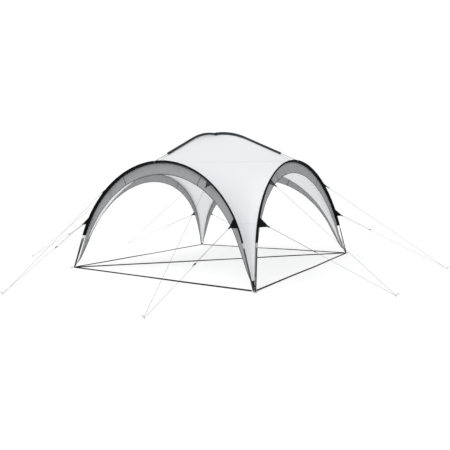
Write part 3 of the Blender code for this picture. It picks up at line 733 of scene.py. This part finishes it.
patch_grey = woven_cloth("patch_grey", (0.030, 0.040, 0.046, 1), (0.062, 0.076, 0.084, 1), 700)
webbing_black = woven_cloth("webbing_black", (0.010, 0.010, 0.011, 1),
                            (0.040, 0.041, 0.043, 1), 900, 0.72)
ring_steel = plated_metal("ring_steel", (0.30, 0.30, 0.31, 1), (0.6, 0.6, 0.6, 1))


def sew_patch(tag, level, patch, hand, place, layout):
    """One patch with its binding, its tab and its ring."""
    bottom, top, reach = patch
    root, rise, point = patch_frame(patch, hand)
    square = (point - rise * point.dot(rise)).normalized()
    heading = Vector((point.dot(rise), point.dot(square)))
    edge = Vector((heading.y, -heading.x)) * TAB_HALF_WIDTH
    tip = heading * (SLEEVE_RADIUS + reach)
    half = (top - bottom) / 2
    low_root, high_root = Vector((-half, PATCH_ROOT)), Vector((half, PATCH_ROOT))
    tips = (tip + edge, tip - edge)
    local = place @ frame_along(rise, square, root)
    normal = local.to_3x3() @ Vector((0, 0, 1))
    add_piece(f"patch_{tag}", flat_piece("patch", [low_root, high_root, *tips], PATCH_CLOTH, local),
              sleeve_black if level == "lower" else patch_grey)

    rim = [local @ Vector((p.x, p.y, 0)) for p in (high_root, *tips, low_root)]
    rounded = [a.lerp(b, t) for a, b in zip(rim, rim[1:]) for t in (0.02, 0.5, 0.98)]
    mesh = swept_mesh("binding", rounded, normal, round_section(PATCH_CLOTH / 2 + BINDING / 2, 8))
    add_piece(f"patch_binding_{tag}", mesh, webbing_black)

    start, end = [local @ Vector((*(heading * (SLEEVE_RADIUS + reach + further)), 0))
                  for further in (-TAB_SEWN, TAB_LENGTH - 0.002)]
    side_way = (end - start).normalized().cross(normal)
    mesh = swept_mesh("tab", smooth_line(tab_band(start, end, normal), 2), side_way,
                      ribbon_section(2 * TAB_HALF_WIDTH - 0.002, TAB_CLOTH))
    add_piece(f"tab_{tag}", mesh, webbing_black)

    if level == "lower":
        pull, wide = layout["run"], layout["across"]
    else:
        pull, wide = (layout["upper"] - layout["loop"]).normalized(), side_way
    add_piece(f"guy_ring_{tag}", ring_mesh(layout[level], pull, pull.cross(wide).normalized()),
              ring_steel)


for side in SIDES:
    for end, hand in zip(ENDS[side], (-1, 1)):
        for level, patch in (("lower", LOWER_PATCH), ("upper", UPPER_PATCH)):
            sew_patch(f"{level}_{side}_{end}", level, patch, hand, side_matrix(side),
                      guys[f"{side}_{end}"])


# ---------------------------------------------------------------------------------------------
# The valances.
# A band of thin translucent grey cloth in each arch, deepest at the crown and gone at the feet.
# It is sewn into the sleeve's seam, and its free edge is bound with a dark rolled tape.
VALANCE_DEPTH = 0.160
VALANCE_START = 0.12
VALANCE_TAPER = 0.13                # along the arch, below which only the bound edge goes on
VALANCE_LEAST = 0.006
VALANCE_FULLNESS = 0.66             # under 1 keeps the band deep far down the arch
VALANCE_LEAN = -0.12                # the free edge hangs back, in under the canopy
VALANCE_CLOTH = 0.0006
VALANCE_ROWS = 7
VALANCE_STEP = 0.035
VALANCE_SEAMS = (0.36, 0.67)        # shares of the arch where two lengths of cloth meet
VALANCE_SEAM_TAPE = (0.010, 0.0022)
VALANCE_SEAM_STEPS = 8
TAPE_RADIUS = 0.0030


def grid_mesh(name, rows):
    """A sheet from rows of points, with a UV map in metres."""
    shape = bmesh.new()
    uv = shape.loops.layers.uv.new("metres")
    verts = [[shape.verts.new(p) for p in row] for row in rows]
    lengths = [0.0]
    middle = len(rows[0]) // 2
    for low, high in zip(rows, rows[1:]):
        lengths.append(lengths[-1] + (Vector(high[middle]) - Vector(low[middle])).length)
    crosses = []
    for row in rows:
        cross = [0.0]
        for a, b in zip(row, row[1:]):
            cross.append(cross[-1] + (Vector(b) - Vector(a)).length)
        centre = cross[middle]
        crosses.append([c - centre for c in cross])
    for k in range(len(rows) - 1):
        for j in range(len(rows[0]) - 1):
            corners = ((k, j), (k, j + 1), (k + 1, j + 1), (k + 1, j))
            face = shape.faces.new([verts[a][b] for a, b in corners])
            face.smooth = True
            for loop, (a, b) in zip(face.loops, corners):
                loop[uv].uv = (crosses[a][b], lengths[a])
    return plain_mesh(shape, name)


def valance_width(along):
    climb = max(0.0, min(along, 2 * ARCH_HALF - along) - VALANCE_TAPER)
    rise = math.sin(QUARTER * climb / (ARCH_HALF - VALANCE_TAPER))
    wide = VALANCE_DEPTH * rise ** VALANCE_FULLNESS
    return max(VALANCE_LEAST, wide)


def valance_point(along, share):
    """A point of the valance: share runs from the sleeve to the free edge."""
    depth = valance_width(along)
    belly = 0.004 * math.sin(math.pi * share) * math.sin(along * 2.1)
    ripple = 0.0022 * share * math.sin(along * 16 + 3 * share) * min(1, depth / 0.08)
    return seam_point(along, depth * share, belly + ripple + VALANCE_LEAN * depth * share)


def translucent_grey():
    """Thin open weave laid on the bias, which lets some of the light behind it through."""
    finish = Finish("translucent_grey", Sheen_Weight=0.1)
    bias = weave(finish, 520, math.radians(45))
    ribs = finish.wave(finish.place("UV", turn=math.radians(45)), 26)
    slow = finish.noise(finish.place("Object"), 4, 3)
    shade = finish.blend(bias * 0.3 + ribs * 0.4 + slow * 0.3,
                         (0.26, 0.267, 0.272, 1), (0.43, 0.44, 0.446, 1))
    return finish.wear(colour=shade, roughness=0.6 + bias * 0.1, alpha=0.80 + ribs * 0.10,
                       height=bias + ribs, depth=0.0002, strength=0.25)


valance_grey = translucent_grey()
tape_black = woven_cloth("tape_black", (0.02, 0.02, 0.022, 1), (0.05, 0.05, 0.053, 1), 900)

valance_stops = arch_steps(VALANCE_START, VALANCE_STEP)

for side in SIDES:
    place = side_matrix(side)
    turn = place.to_3x3()
    rows = [[place @ valance_point(s, j / VALANCE_ROWS) for j in range(VALANCE_ROWS + 1)]
            for s in valance_stops]
    valance = add_piece(f"valance_cloth_{side}", grid_mesh("valance", rows), valance_grey,
                        [f"valance_{side}"], VALANCE_CLOTH)
    mesh = swept_mesh("tape", [row[-1] for row in rows], turn @ Vector((0, -1, 0)),
                      round_section(TAPE_RADIUS, 10))
    tape = add_piece(f"valance_tape_{side}", mesh, tape_black)
    for number, share in enumerate(VALANCE_SEAMS):
        at = 2 * ARCH_HALF * share
        line = [place @ valance_point(at, j / VALANCE_SEAM_STEPS)
                for j in range(VALANCE_SEAM_STEPS + 1)]
        lean = turn @ (arch_point(at + 0.01) - arch_point(at - 0.01))
        mesh = swept_mesh("seam", line, lean, ribbon_section(*VALANCE_SEAM_TAPE))
        add_piece(f"valance_seam_{side}_{number + 1}", mesh, tape_black)
    area = sum((valance_width(a) + valance_width(b)) / 2 * (b - a)
               for a, b in zip(valance_stops, valance_stops[1:]))
    cut = (2 * ARCH_HALF - 2 * VALANCE_START, VALANCE_DEPTH)


# ---------------------------------------------------------------------------------------------
# The canopy.
# One sewn sheet of coated white polyester, pulled tight over the two roof poles between the four
# arches, with a tail that runs down to each foot. Its panels are joined with flat felled seams.
CORNERS = ("front_right", "back_right", "back_left", "front_left")
ROOF_END_SLOPE = math.radians(26)
APEX_HEIGHT = 2.23
ROOF_POLE_RADIUS = 0.0063
CANOPY_START = 0.05
CANOPY_CLOTH = 0.0012
CANOPY_SHIFT = 0.0180               # from a roof pole's middle down to the cloth
CROWN_BLEND = 0.25                  # over which the cloth climbs from the crown's seam to the pole
CANOPY_ARCH_STEPS = 62
CANOPY_ROOF_STEPS = 34
CANOPY_ACROSS = 40
TENSION_PASSES = 1400
TENSION_RATE = 1.93
CROWN_REACH = HALF_SIDE - ARCH_HEIGHT * math.sin(ARCH_LEAN)
CROWN_HEIGHT = ARCH_HEIGHT * math.cos(ARCH_LEAN)
UPPER_APEX = APEX_HEIGHT + 2 * ROOF_POLE_RADIUS + GAP


def roof_height(reach, apex):
    """Height of a roof pole's centre at a distance out from the middle."""
    slope = np.array([[math.sin(ROOF_END_SLOPE), math.cos(ROOF_END_SLOPE)],
                      [1 - math.cos(ROOF_END_SLOPE), math.sin(ROOF_END_SLOPE)]])
    bend, _ = np.linalg.solve(slope, [CROWN_REACH, apex - CROWN_HEIGHT])
    turn_end = bend * math.sin(ROOF_END_SLOPE)
    reach = abs(reach)
    if reach < turn_end:
        return apex - bend + math.sqrt(bend * bend - reach * reach)
    drop = bend * (1 - math.cos(ROOF_END_SLOPE)) + (reach - turn_end) * math.tan(ROOF_END_SLOPE)
    return apex - drop


def canopy_edge():
    """One edge of a corner: up the front arch's right half, then up the roof line to the top."""
    place = side_matrix("front")
    edge = []
    for k in range(CANOPY_ARCH_STEPS + 1):
        climb = CANOPY_START + (ARCH_HALF - CANOPY_START) * (k / CANOPY_ARCH_STEPS)
        edge.append(place @ seam_point(2 * ARCH_HALF - climb))
    edge[-1].x = 0
    first = -edge[-1].y
    start_drop = roof_height(first, APEX_HEIGHT) - CANOPY_SHIFT - edge[-1].z
    for k in range(1, CANOPY_ROOF_STEPS + 1):
        reach = first * (1 - k / CANOPY_ROOF_STEPS)
        drop = start_drop * max(0.0, 1 - (first - reach) / CROWN_BLEND) ** 2
        edge.append(Vector((0, -reach, roof_height(reach, APEX_HEIGHT) - CANOPY_SHIFT - drop)))
    return edge


def tension(grid):
    """Pulls the inside of a grid tight between its fixed edges, as a membrane."""
    rows, columns, _ = grid.shape
    parity = np.add.outer(np.arange(1, rows - 1), np.arange(1, columns - 1)) % 2
    for _ in range(TENSION_PASSES):
        for turn in (0, 1):
            middle = grid[1:-1, 1:-1]
            mean = (grid[:-2, 1:-1] + grid[2:, 1:-1] + grid[1:-1, :-2] + grid[1:-1, 2:]) / 4
            middle[parity == turn] += TENSION_RATE * (mean - middle)[parity == turn]


def corner_grid():
    edge = canopy_edge()
    grid = np.zeros((len(edge), CANOPY_ACROSS + 1, 3))
    for i, point in enumerate(edge):
        mirrored = Vector((-point.y, -point.x, point.z))
        for j in range(CANOPY_ACROSS + 1):
            grid[i, j] = point.lerp(mirrored, j / CANOPY_ACROSS)
    tension(grid)
    return grid


def pull_wrinkles(grid):
    """Long shallow creases that run up from each foot and in from the arches under tension."""
    rows, columns, _ = grid.shape
    along = np.zeros_like(grid)
    over = np.zeros_like(grid)
    along[1:-1] = grid[2:] - grid[:-2]
    over[:, 1:-1] = grid[:, 2:] - grid[:, :-2]
    normal = np.cross(over, along)
    size = np.linalg.norm(normal, axis=2, keepdims=True)
    normal = np.where(size > 0, normal / np.maximum(size, 1e-9), 0)
    for i in range(1, rows - 1):
        climb = i / CANOPY_ARCH_STEPS
        for j in range(1, columns - 1):
            share = j / (columns - 1)
            inside = math.sin(math.pi * share)
            from_foot = math.exp(-((climb - 0.12) / 0.16) ** 2)
            lift = 0.0040 * from_foot * inside * math.sin(2 * math.pi * 2.5 * share + 0.9)
            near_edge = math.exp(-min(share, 1 - share) / 0.10) * inside * 3
            lift += 0.0016 * near_edge * math.sin(climb * 41 + 7 * share) * min(1, 4 * climb)
            half_way = math.exp(-((climb - 0.6) / 0.3) ** 2)
            lift += 0.0022 * inside * math.sin(climb * 9 + 5.5 * share) * half_way
            grid[i, j] += normal[i, j] * lift
    return grid


def canopy_mesh(grid):
    """The four corners joined into one sheet along the roof lines."""
    shape = bmesh.new()
    uv = shape.loops.layers.uv.new("metres")
    rows, columns, _ = grid.shape
    up = np.zeros((rows, columns))
    up[1:] = np.cumsum(np.linalg.norm(grid[1:] - grid[:-1], axis=2), axis=0)
    cross = np.zeros((rows, columns))
    cross[:, 1:] = np.cumsum(np.linalg.norm(grid[:, 1:] - grid[:, :-1], axis=2), axis=1)
    cross -= cross[:, columns // 2:columns // 2 + 1]
    for k in range(4):
        turn = np.array(Matrix.Rotation(QUARTER * k, 3, "Z"))
        spots = grid @ turn.T
        verts = [[shape.verts.new(p) for p in row] for row in spots]
        for i in range(rows - 1):
            for j in range(columns - 1):
                if i == rows - 2:
                    corners = ((i, j), (i, j + 1), (i + 1, j + 1))
                else:
                    corners = ((i, j), (i, j + 1), (i + 1, j + 1), (i + 1, j))
                face = shape.faces.new([verts[a][b] for a, b in corners])
                face.smooth = True
                for loop, (a, b) in zip(face.loops, corners):
                    loop[uv].uv = (cross[a, b], up[a, columns // 2])
    bmesh.ops.remove_doubles(shape, verts=shape.verts, dist=0.00005)
    return plain_mesh(shape, "canopy")


def coated_white():
    """Coated polyester: a fine ripstop grid, faint mottling and creases left from packing."""
    finish = Finish("coated_white", Sheen_Weight=0.05)
    where = finish.place("UV")
    grid_u = finish.wave(where, 26).sum("POWER", 14)
    grid_v = finish.wave(where, 26, "Y").sum("POWER", 14)
    rip = grid_u.sum("MAXIMUM", grid_v)
    threads = weave(finish, 1400)
    slow = finish.noise(finish.place("Object"), 1.6, 3)
    crease = finish.node("ShaderNodeTexVoronoi", {"feature": "DISTANCE_TO_EDGE"},
                         {"Vector": finish.place("Object", (1, 1, 0.7)), "Scale": 2.3}, "Distance")
    fold = 1 - (crease * 30).sum("MINIMUM", 1.0)
    shade = finish.blend(slow * 0.7 + rip * 0.3, (0.80, 0.815, 0.825, 1), (0.86, 0.87, 0.88, 1))
    return finish.wear(colour=shade, roughness=0.48 + slow * 0.12 + threads * 0.05,
                       height=rip * 0.5 + fold * 0.5, depth=0.0003, strength=0.15)


canopy_white = coated_white()
smooth_grid = corner_grid()
cloth_grid = pull_wrinkles(smooth_grid.copy())
canopy = add_piece("canopy_cloth", canopy_mesh(cloth_grid), canopy_white,
                   [f"canopy_{corner}" for corner in CORNERS], CANOPY_CLOTH)


def level_line(grid, height):
    """Where a corner of the canopy passes a height: points and outward directions."""
    line = []
    rows, columns, _ = grid.shape
    for j in range(columns):
        for i in range(rows - 1):
            low, high = Vector(grid[i, j]), Vector(grid[i + 1, j])
            if low.z <= height < high.z:
                spot = low.lerp(high, (height - low.z) / (high.z - low.z))
                a = Vector(grid[i, min(j + 1, columns - 1)]) - Vector(grid[i, max(j - 1, 0)])
                line.append((spot, a.cross(high - low).normalized()))
                break
    return line


SEAM_HEIGHTS = {"leg": 0.775, "crown": CROWN_HEIGHT - 0.015}
SEAM_WIDTH = 0.012
SEAM_FOLD = 0.0014


def flat_seam(k):
    return [(y, x) for x, y in reversed(ribbon_section(SEAM_WIDTH, SEAM_FOLD)(k))]


for name, height in SEAM_HEIGHTS.items():
    for k, corner in enumerate(CORNERS):
        turn = Matrix.Rotation(QUARTER * k, 3, "Z")
        points = level_line(cloth_grid, height)
        line = [turn @ (spot + out * (CANOPY_CLOTH / 2 + SEAM_FOLD / 2)) for spot, out in points]
        ways = [turn @ out for _, out in points]
        mesh = swept_mesh("seam", line, lambda i: ways[i], flat_seam)
        add_piece(f"canopy_seam_{name}_{corner}", mesh, canopy_white)
edge_up = smooth_grid[1:, :-1] - smooth_grid[:-1, :-1]
edge_across = smooth_grid[:-1, 1:] - smooth_grid[:-1, :-1]
canopy_area = 4 * np.linalg.norm(np.cross(edge_up, edge_across), axis=2).sum()
reach_up = float(np.linalg.norm(np.diff(smooth_grid[:, CANOPY_ACROSS // 2], axis=0), axis=1).sum())


# ---------------------------------------------------------------------------------------------
# The corner tips.
# Where each tail of the canopy ends, black webbing is sewn across it and folded into a strap
# that is drawn down to the foot, so the cloth stays tight.
TIP_ROWS = 3
TIP_LIFT = 0.0022
TIP_CLOTH = 0.0016
TIP_STRAP = (0.016, 0.0020)
for k, corner in enumerate(CORNERS):
    turn = Matrix.Rotation(QUARTER * k, 3, "Z")
    lift = Vector((1, -1, 0.25)).normalized() * TIP_LIFT
    rows = [[turn @ (Vector(cloth_grid[i, j]) + lift) for j in range(0, CANOPY_ACROSS + 1, 2)]
            for i in range(TIP_ROWS)]
    add_piece(f"corner_cap_{corner}", grid_mesh("cap", rows), webbing_black,
              cloth=TIP_CLOTH)
    top = Vector(cloth_grid[TIP_ROWS - 1, CANOPY_ACROSS // 2])
    low = Vector(cloth_grid[0, CANOPY_ACROSS // 2])
    foot = Vector((HALF_SIDE, -HALF_SIDE, 0))
    pull = [spot + Vector((out, -out, rise))
            for spot, out, rise in ((top, 0.0030, 0), (low, 0.0032, 0), (low.lerp(foot, 0.45), 0.010, 0.004),
                                    (foot, 0.019, 0.012), (foot, 0.024, 0.0085))]
    mesh = swept_mesh("corner_strap", [turn @ p for p in smooth_line(pull, 4)],
                      turn @ Vector((1, 1, 0)), ribbon_section(*TIP_STRAP))
    add_piece(f"corner_strap_{corner}", mesh, webbing_black)


# ---------------------------------------------------------------------------------------------
# The roof sleeves.
# Dark grey woven tubes over the two roof poles, sewn to the canopy along their undersides. The
# left to right one lies over the other at the top, and both end short of the crowns.
ROOF_SLEEVE_REACH = 1.25
ROOF_SLEEVE_STEP = 0.025
ROOF_SLEEVE_RADIUS = SLEEVE_RADIUS - 0.0012
ROOF_FLATNESS = 0.94
ROOF_HEM_FOLD = 0.0010
ROOF_SEAM = 0.0030                  # the sewn ridge on the underside
ROOF_SIDES = 26
ROOF_POLES = (("front_to_back", APEX_HEIGHT, 0), ("left_to_right", UPPER_APEX, 1))
roof_grey = woven_cloth("roof_sleeve_grey", (0.032, 0.035, 0.038, 1),
                        (0.064, 0.069, 0.073, 1), 700)


def roof_section(reach, apex):
    """The outline round the pole: x to the side, y down to the cloth, which it always reaches."""
    gap = roof_height(reach, apex) - roof_height(reach, APEX_HEIGHT)
    ring = []
    hem = ROOF_HEM_FOLD if ROOF_SLEEVE_REACH - abs(reach) < HEM_WIDTH else 0.0
    for j in range(ROOF_SIDES):
        a = 2 * math.pi * j / ROOF_SIDES
        seam = ROOF_SEAM * math.exp(-(((a - QUARTER) / 0.35) ** 2))
        slack = (0.0002 * math.sin(reach * 31 + 1.9 * math.cos(a))
                 + 0.0002 * math.sin(reach * 77 + 3 * a))
        radius = ROOF_SLEEVE_RADIUS + hem + seam + slack
        ring.append((radius * math.cos(a),
                     radius * ROOF_FLATNESS * math.sin(a) + gap * max(0.0, math.sin(a))))
    return ring


roof_count = round(2 * ROOF_SLEEVE_REACH / ROOF_SLEEVE_STEP)
roof_stops = sorted([ROOF_SLEEVE_REACH * (2 * k / roof_count - 1) for k in range(roof_count + 1)]
                    + [ROOF_SLEEVE_REACH - HEM_STOP, HEM_STOP - ROOF_SLEEVE_REACH])
for name, apex, turn in ROOF_POLES:
    spin = Matrix.Rotation(QUARTER * turn, 3, "Z")
    line = [spin @ Vector((0, y, roof_height(y, apex))) for y in roof_stops]
    mesh = swept_mesh("roof_sleeve", line, spin @ Vector((1, 0, 0)),
                      lambda k: roof_section(roof_stops[k], apex), capped=False)
    add_piece(f"roof_sleeve_{name}", mesh, roof_grey,
              ["roof_sleeve"] if apex == APEX_HEIGHT else (), SLEEVE_CLOTH, -1)


# ---------------------------------------------------------------------------------------------
# The ground straps.
# Black 20 mm webbing from foot to foot round the floor, and one from corner to corner, which set
# the feet apart. Drawn tight, it stands up on its edge and leans a little this way and that.
STRAP_WIDTH = 0.020
STRAP_THICKNESS = 0.0015
STRAP_TILT = math.radians(60)
STRAP_ROCK = 0.24                   # how far it leans either way from that, in radians
STRAP_CLEARANCE = 0.012
STRAP_STEPS = 90
FOOT_RADIUS = 0.030


def strap_piece(name, start, end, slack, phase):
    """A strap on the floor that wanders from side to side between two feet."""
    way = (end - start).normalized()
    over = Vector((0, 0, 1)).cross(way)
    length = (end - start).length
    share = length / FOOTPRINT
    line, tilt = [], []
    for k in range(STRAP_STEPS + 1):
        t = k / STRAP_STEPS
        held = math.sin(math.pi * t)
        sway = slack * held * (math.sin(5.1 * t * share + phase)
                               + 0.45 * math.sin(13.7 * t * share + 2 * phase))
        tip = STRAP_TILT + STRAP_ROCK * held * math.sin(9.3 * t * share + 1.6 * phase)
        lift = math.sin(tip) * STRAP_WIDTH / 2 + math.cos(tip) * STRAP_THICKNESS / 2
        line.append(start + way * (length * t) + over * sway + Vector((0, 0, lift)))
        tilt.append(over * math.cos(tip) + Vector((0, 0, math.sin(tip))))
    mesh = swept_mesh(name, line, lambda i: tilt[i], ribbon_section(STRAP_WIDTH, STRAP_THICKNESS))
    add_piece(f"{name}_webbing", mesh, webbing_black, [name])


for k, side in enumerate(SIDES):
    turn = Matrix.Rotation(QUARTER * k, 3, "Z")
    reach = HALF_SIDE - FOOT_RADIUS - STRAP_CLEARANCE
    ends = [turn @ Vector((hand * reach, -HALF_SIDE, 0)) for hand in (-1, 1)]
    strap_piece(f"ground_strap_{side}", *ends, 0.010, 0.7 + 1.3 * k)
corner_reach = HALF_SIDE - (FOOT_RADIUS + STRAP_CLEARANCE) / math.sqrt(2)
strap_piece("ground_strap_diagonal", Vector((-corner_reach, -corner_reach, 0)),
            Vector((corner_reach, corner_reach, 0)), 0.012, 2.4)


# ---------------------------------------------------------------------------------------------
# The stitching.
# Lockstitch rows in heavy thread along the sleeves, the valance hems and the roof sleeves, and
# along the canopy's seams.
STITCH_PITCH = 0.0080
STITCH_LENGTH = 0.0052
THREAD_RADIUS = 0.00045
SLEEVE_ROWS = (-0.0040, -0.0014)    # on the tail, either side of its edge
SLEEVE_ROW_OUT = 0.0041
HEM_ROWS = (0.03, 0.94)             # shares of the valance's depth
SEAM_ROWS = (-0.0035, 0.0035)
ROOF_ROW_SIDE = 0.0105
ROOF_ROW_DROP = 0.0122


def stitch_tree():
    """Puts one short thread at each step of a line, along it."""
    tree = bpy.data.node_groups.new("stitch_row", "GeometryNodeTree")
    for name, kind in (("Line", "NodeSocketGeometry"), ("Pitch", "NodeSocketFloat"),
                       ("Stitch length", "NodeSocketFloat"), ("Thread radius", "NodeSocketFloat"),
                       ("Thread", "NodeSocketMaterial")):
        tree.interface.new_socket(name, in_out="INPUT", socket_type=kind)
    tree.interface.new_socket("Stitches", in_out="OUTPUT", socket_type="NodeSocketGeometry")
    nodes, links = tree.nodes, tree.links
    given = nodes.new("NodeGroupInput")
    curve = nodes.new("GeometryNodeMeshToCurve")
    steps = nodes.new("GeometryNodeResampleCurve")
    steps.mode = "LENGTH"
    thread = nodes.new("GeometryNodeMeshIcoSphere")
    thread.inputs["Subdivisions"].default_value = 1
    along = nodes.new("GeometryNodeInputTangent")
    turn = nodes.new("FunctionNodeAlignRotationToVector")
    turn.axis = "X"
    size = nodes.new("ShaderNodeCombineXYZ")
    half = nodes.new("ShaderNodeMath")
    half.operation = "MULTIPLY"
    half.inputs[1].default_value = 0.5
    put = nodes.new("GeometryNodeInstanceOnPoints")
    real = nodes.new("GeometryNodeRealizeInstances")
    paint = nodes.new("GeometryNodeSetMaterial")
    result = nodes.new("NodeGroupOutput")
    for a, b in ((given.outputs["Line"], curve.inputs["Mesh"]),
                 (curve.outputs["Curve"], steps.inputs["Curve"]),
                 (given.outputs["Pitch"], steps.inputs["Length"]),
                 (steps.outputs["Curve"], put.inputs["Points"]),
                 (thread.outputs["Mesh"], put.inputs["Instance"]),
                 (along.outputs["Tangent"], turn.inputs["Vector"]),
                 (turn.outputs["Rotation"], put.inputs["Rotation"]),
                 (given.outputs["Stitch length"], half.inputs[0]),
                 (half.outputs[0], size.inputs["X"]),
                 (given.outputs["Thread radius"], size.inputs["Y"]),
                 (given.outputs["Thread radius"], size.inputs["Z"]),
                 (size.outputs[0], put.inputs["Scale"]),
                 (put.outputs["Instances"], real.inputs["Geometry"]),
                 (real.outputs["Geometry"], paint.inputs["Geometry"]),
                 (given.outputs["Thread"], paint.inputs["Material"]),
                 (paint.outputs["Geometry"], result.inputs["Stitches"])):
        links.new(a, b)
    return tree


def thread_finish(name, colour):
    """Twisted polyester thread."""
    finish = Finish(name)
    twist = finish.noise(finish.place("Object"), 1800, 2)
    pale = tuple(min(1, c * 1.6 + 0.02) for c in colour)
    shade = finish.blend(twist, (*colour, 1), (*pale, 1))
    return finish.wear(colour=shade, roughness=0.5 + twist * 0.2,
                       height=twist, depth=0.0002, strength=0.4)


def stitch_rows(name, lines, thread, tree):
    """All the stitches along several lines, as one piece."""
    points, edges = [], []
    for line in lines:
        first = len(points)
        points += line
        edges += [(first + k, first + k + 1) for k in range(len(line) - 1)]
    path = bpy.data.meshes.new("stitch_path")
    path.from_pydata(points, edges, [])
    holder = bpy.data.objects.new("stitch_path", path)
    scene.collection.objects.link(holder)
    maker = holder.modifiers.new("stitches", "NODES")
    maker.node_group = tree
    sizes = {"Pitch": STITCH_PITCH, "Stitch length": STITCH_LENGTH, "Thread radius": THREAD_RADIUS,
             "Thread": thread}
    for item in tree.interface.items_tree:
        if item.name in sizes:
            maker[item.identifier] = sizes[item.name]
    bpy.context.view_layer.update()
    evaluated = holder.evaluated_get(bpy.context.evaluated_depsgraph_get())
    made = bpy.data.meshes.new_from_object(evaluated)
    bpy.data.objects.remove(holder, do_unlink=True)
    made.name = name
    made.materials.clear()
    add_piece(name, made, thread)


stitch_lines = {"sleeve": [], "valance": [], "canopy": [], "roof": []}
for side in SIDES:
    place = side_matrix(side)
    face = place.to_3x3() @ Vector((0, -VALANCE_CLOTH, 0))
    stitch_lines["sleeve"] += [[place @ seam_point(s, inward, SLEEVE_ROW_OUT)
                                for s in sleeve_stops] for inward in SLEEVE_ROWS]
    stitch_lines["valance"] += [[place @ valance_point(s, share) + face
                                 for s in valance_stops] for share in HEM_ROWS]
for height in SEAM_HEIGHTS.values():
    for k in range(4):
        turn = Matrix.Rotation(QUARTER * k, 3, "Z")
        stitch_lines["canopy"] += [[turn @ (spot + out * (CANOPY_CLOTH / 2 + SEAM_FOLD))
                                    for spot, out in level_line(cloth_grid, height + rise)]
                                   for rise in SEAM_ROWS]
for _, apex, turn in ROOF_POLES:
    spin = Matrix.Rotation(QUARTER * turn, 3, "Z")
    stitch_lines["roof"] += [[spin @ Vector((x, y, roof_height(y, apex) - ROOF_ROW_DROP))
                              for y in roof_stops] for x in (-ROOF_ROW_SIDE, ROOF_ROW_SIDE)]

stitch_group = stitch_tree()
grey_thread = thread_finish("grey_thread", (0.16, 0.165, 0.17))
white_thread = thread_finish("white_thread", (0.62, 0.63, 0.64))
for group, thread, slot in (("sleeve", grey_thread, "sleeve_fabric"),
                            ("valance", grey_thread, "valance_fabric"),
                            ("canopy", white_thread, "canopy_fabric"),
                            ("roof", grey_thread, "roof_sleeve_fabric")):
    stitch_rows(f"stitches_{group}", stitch_lines[group], thread, stitch_group)
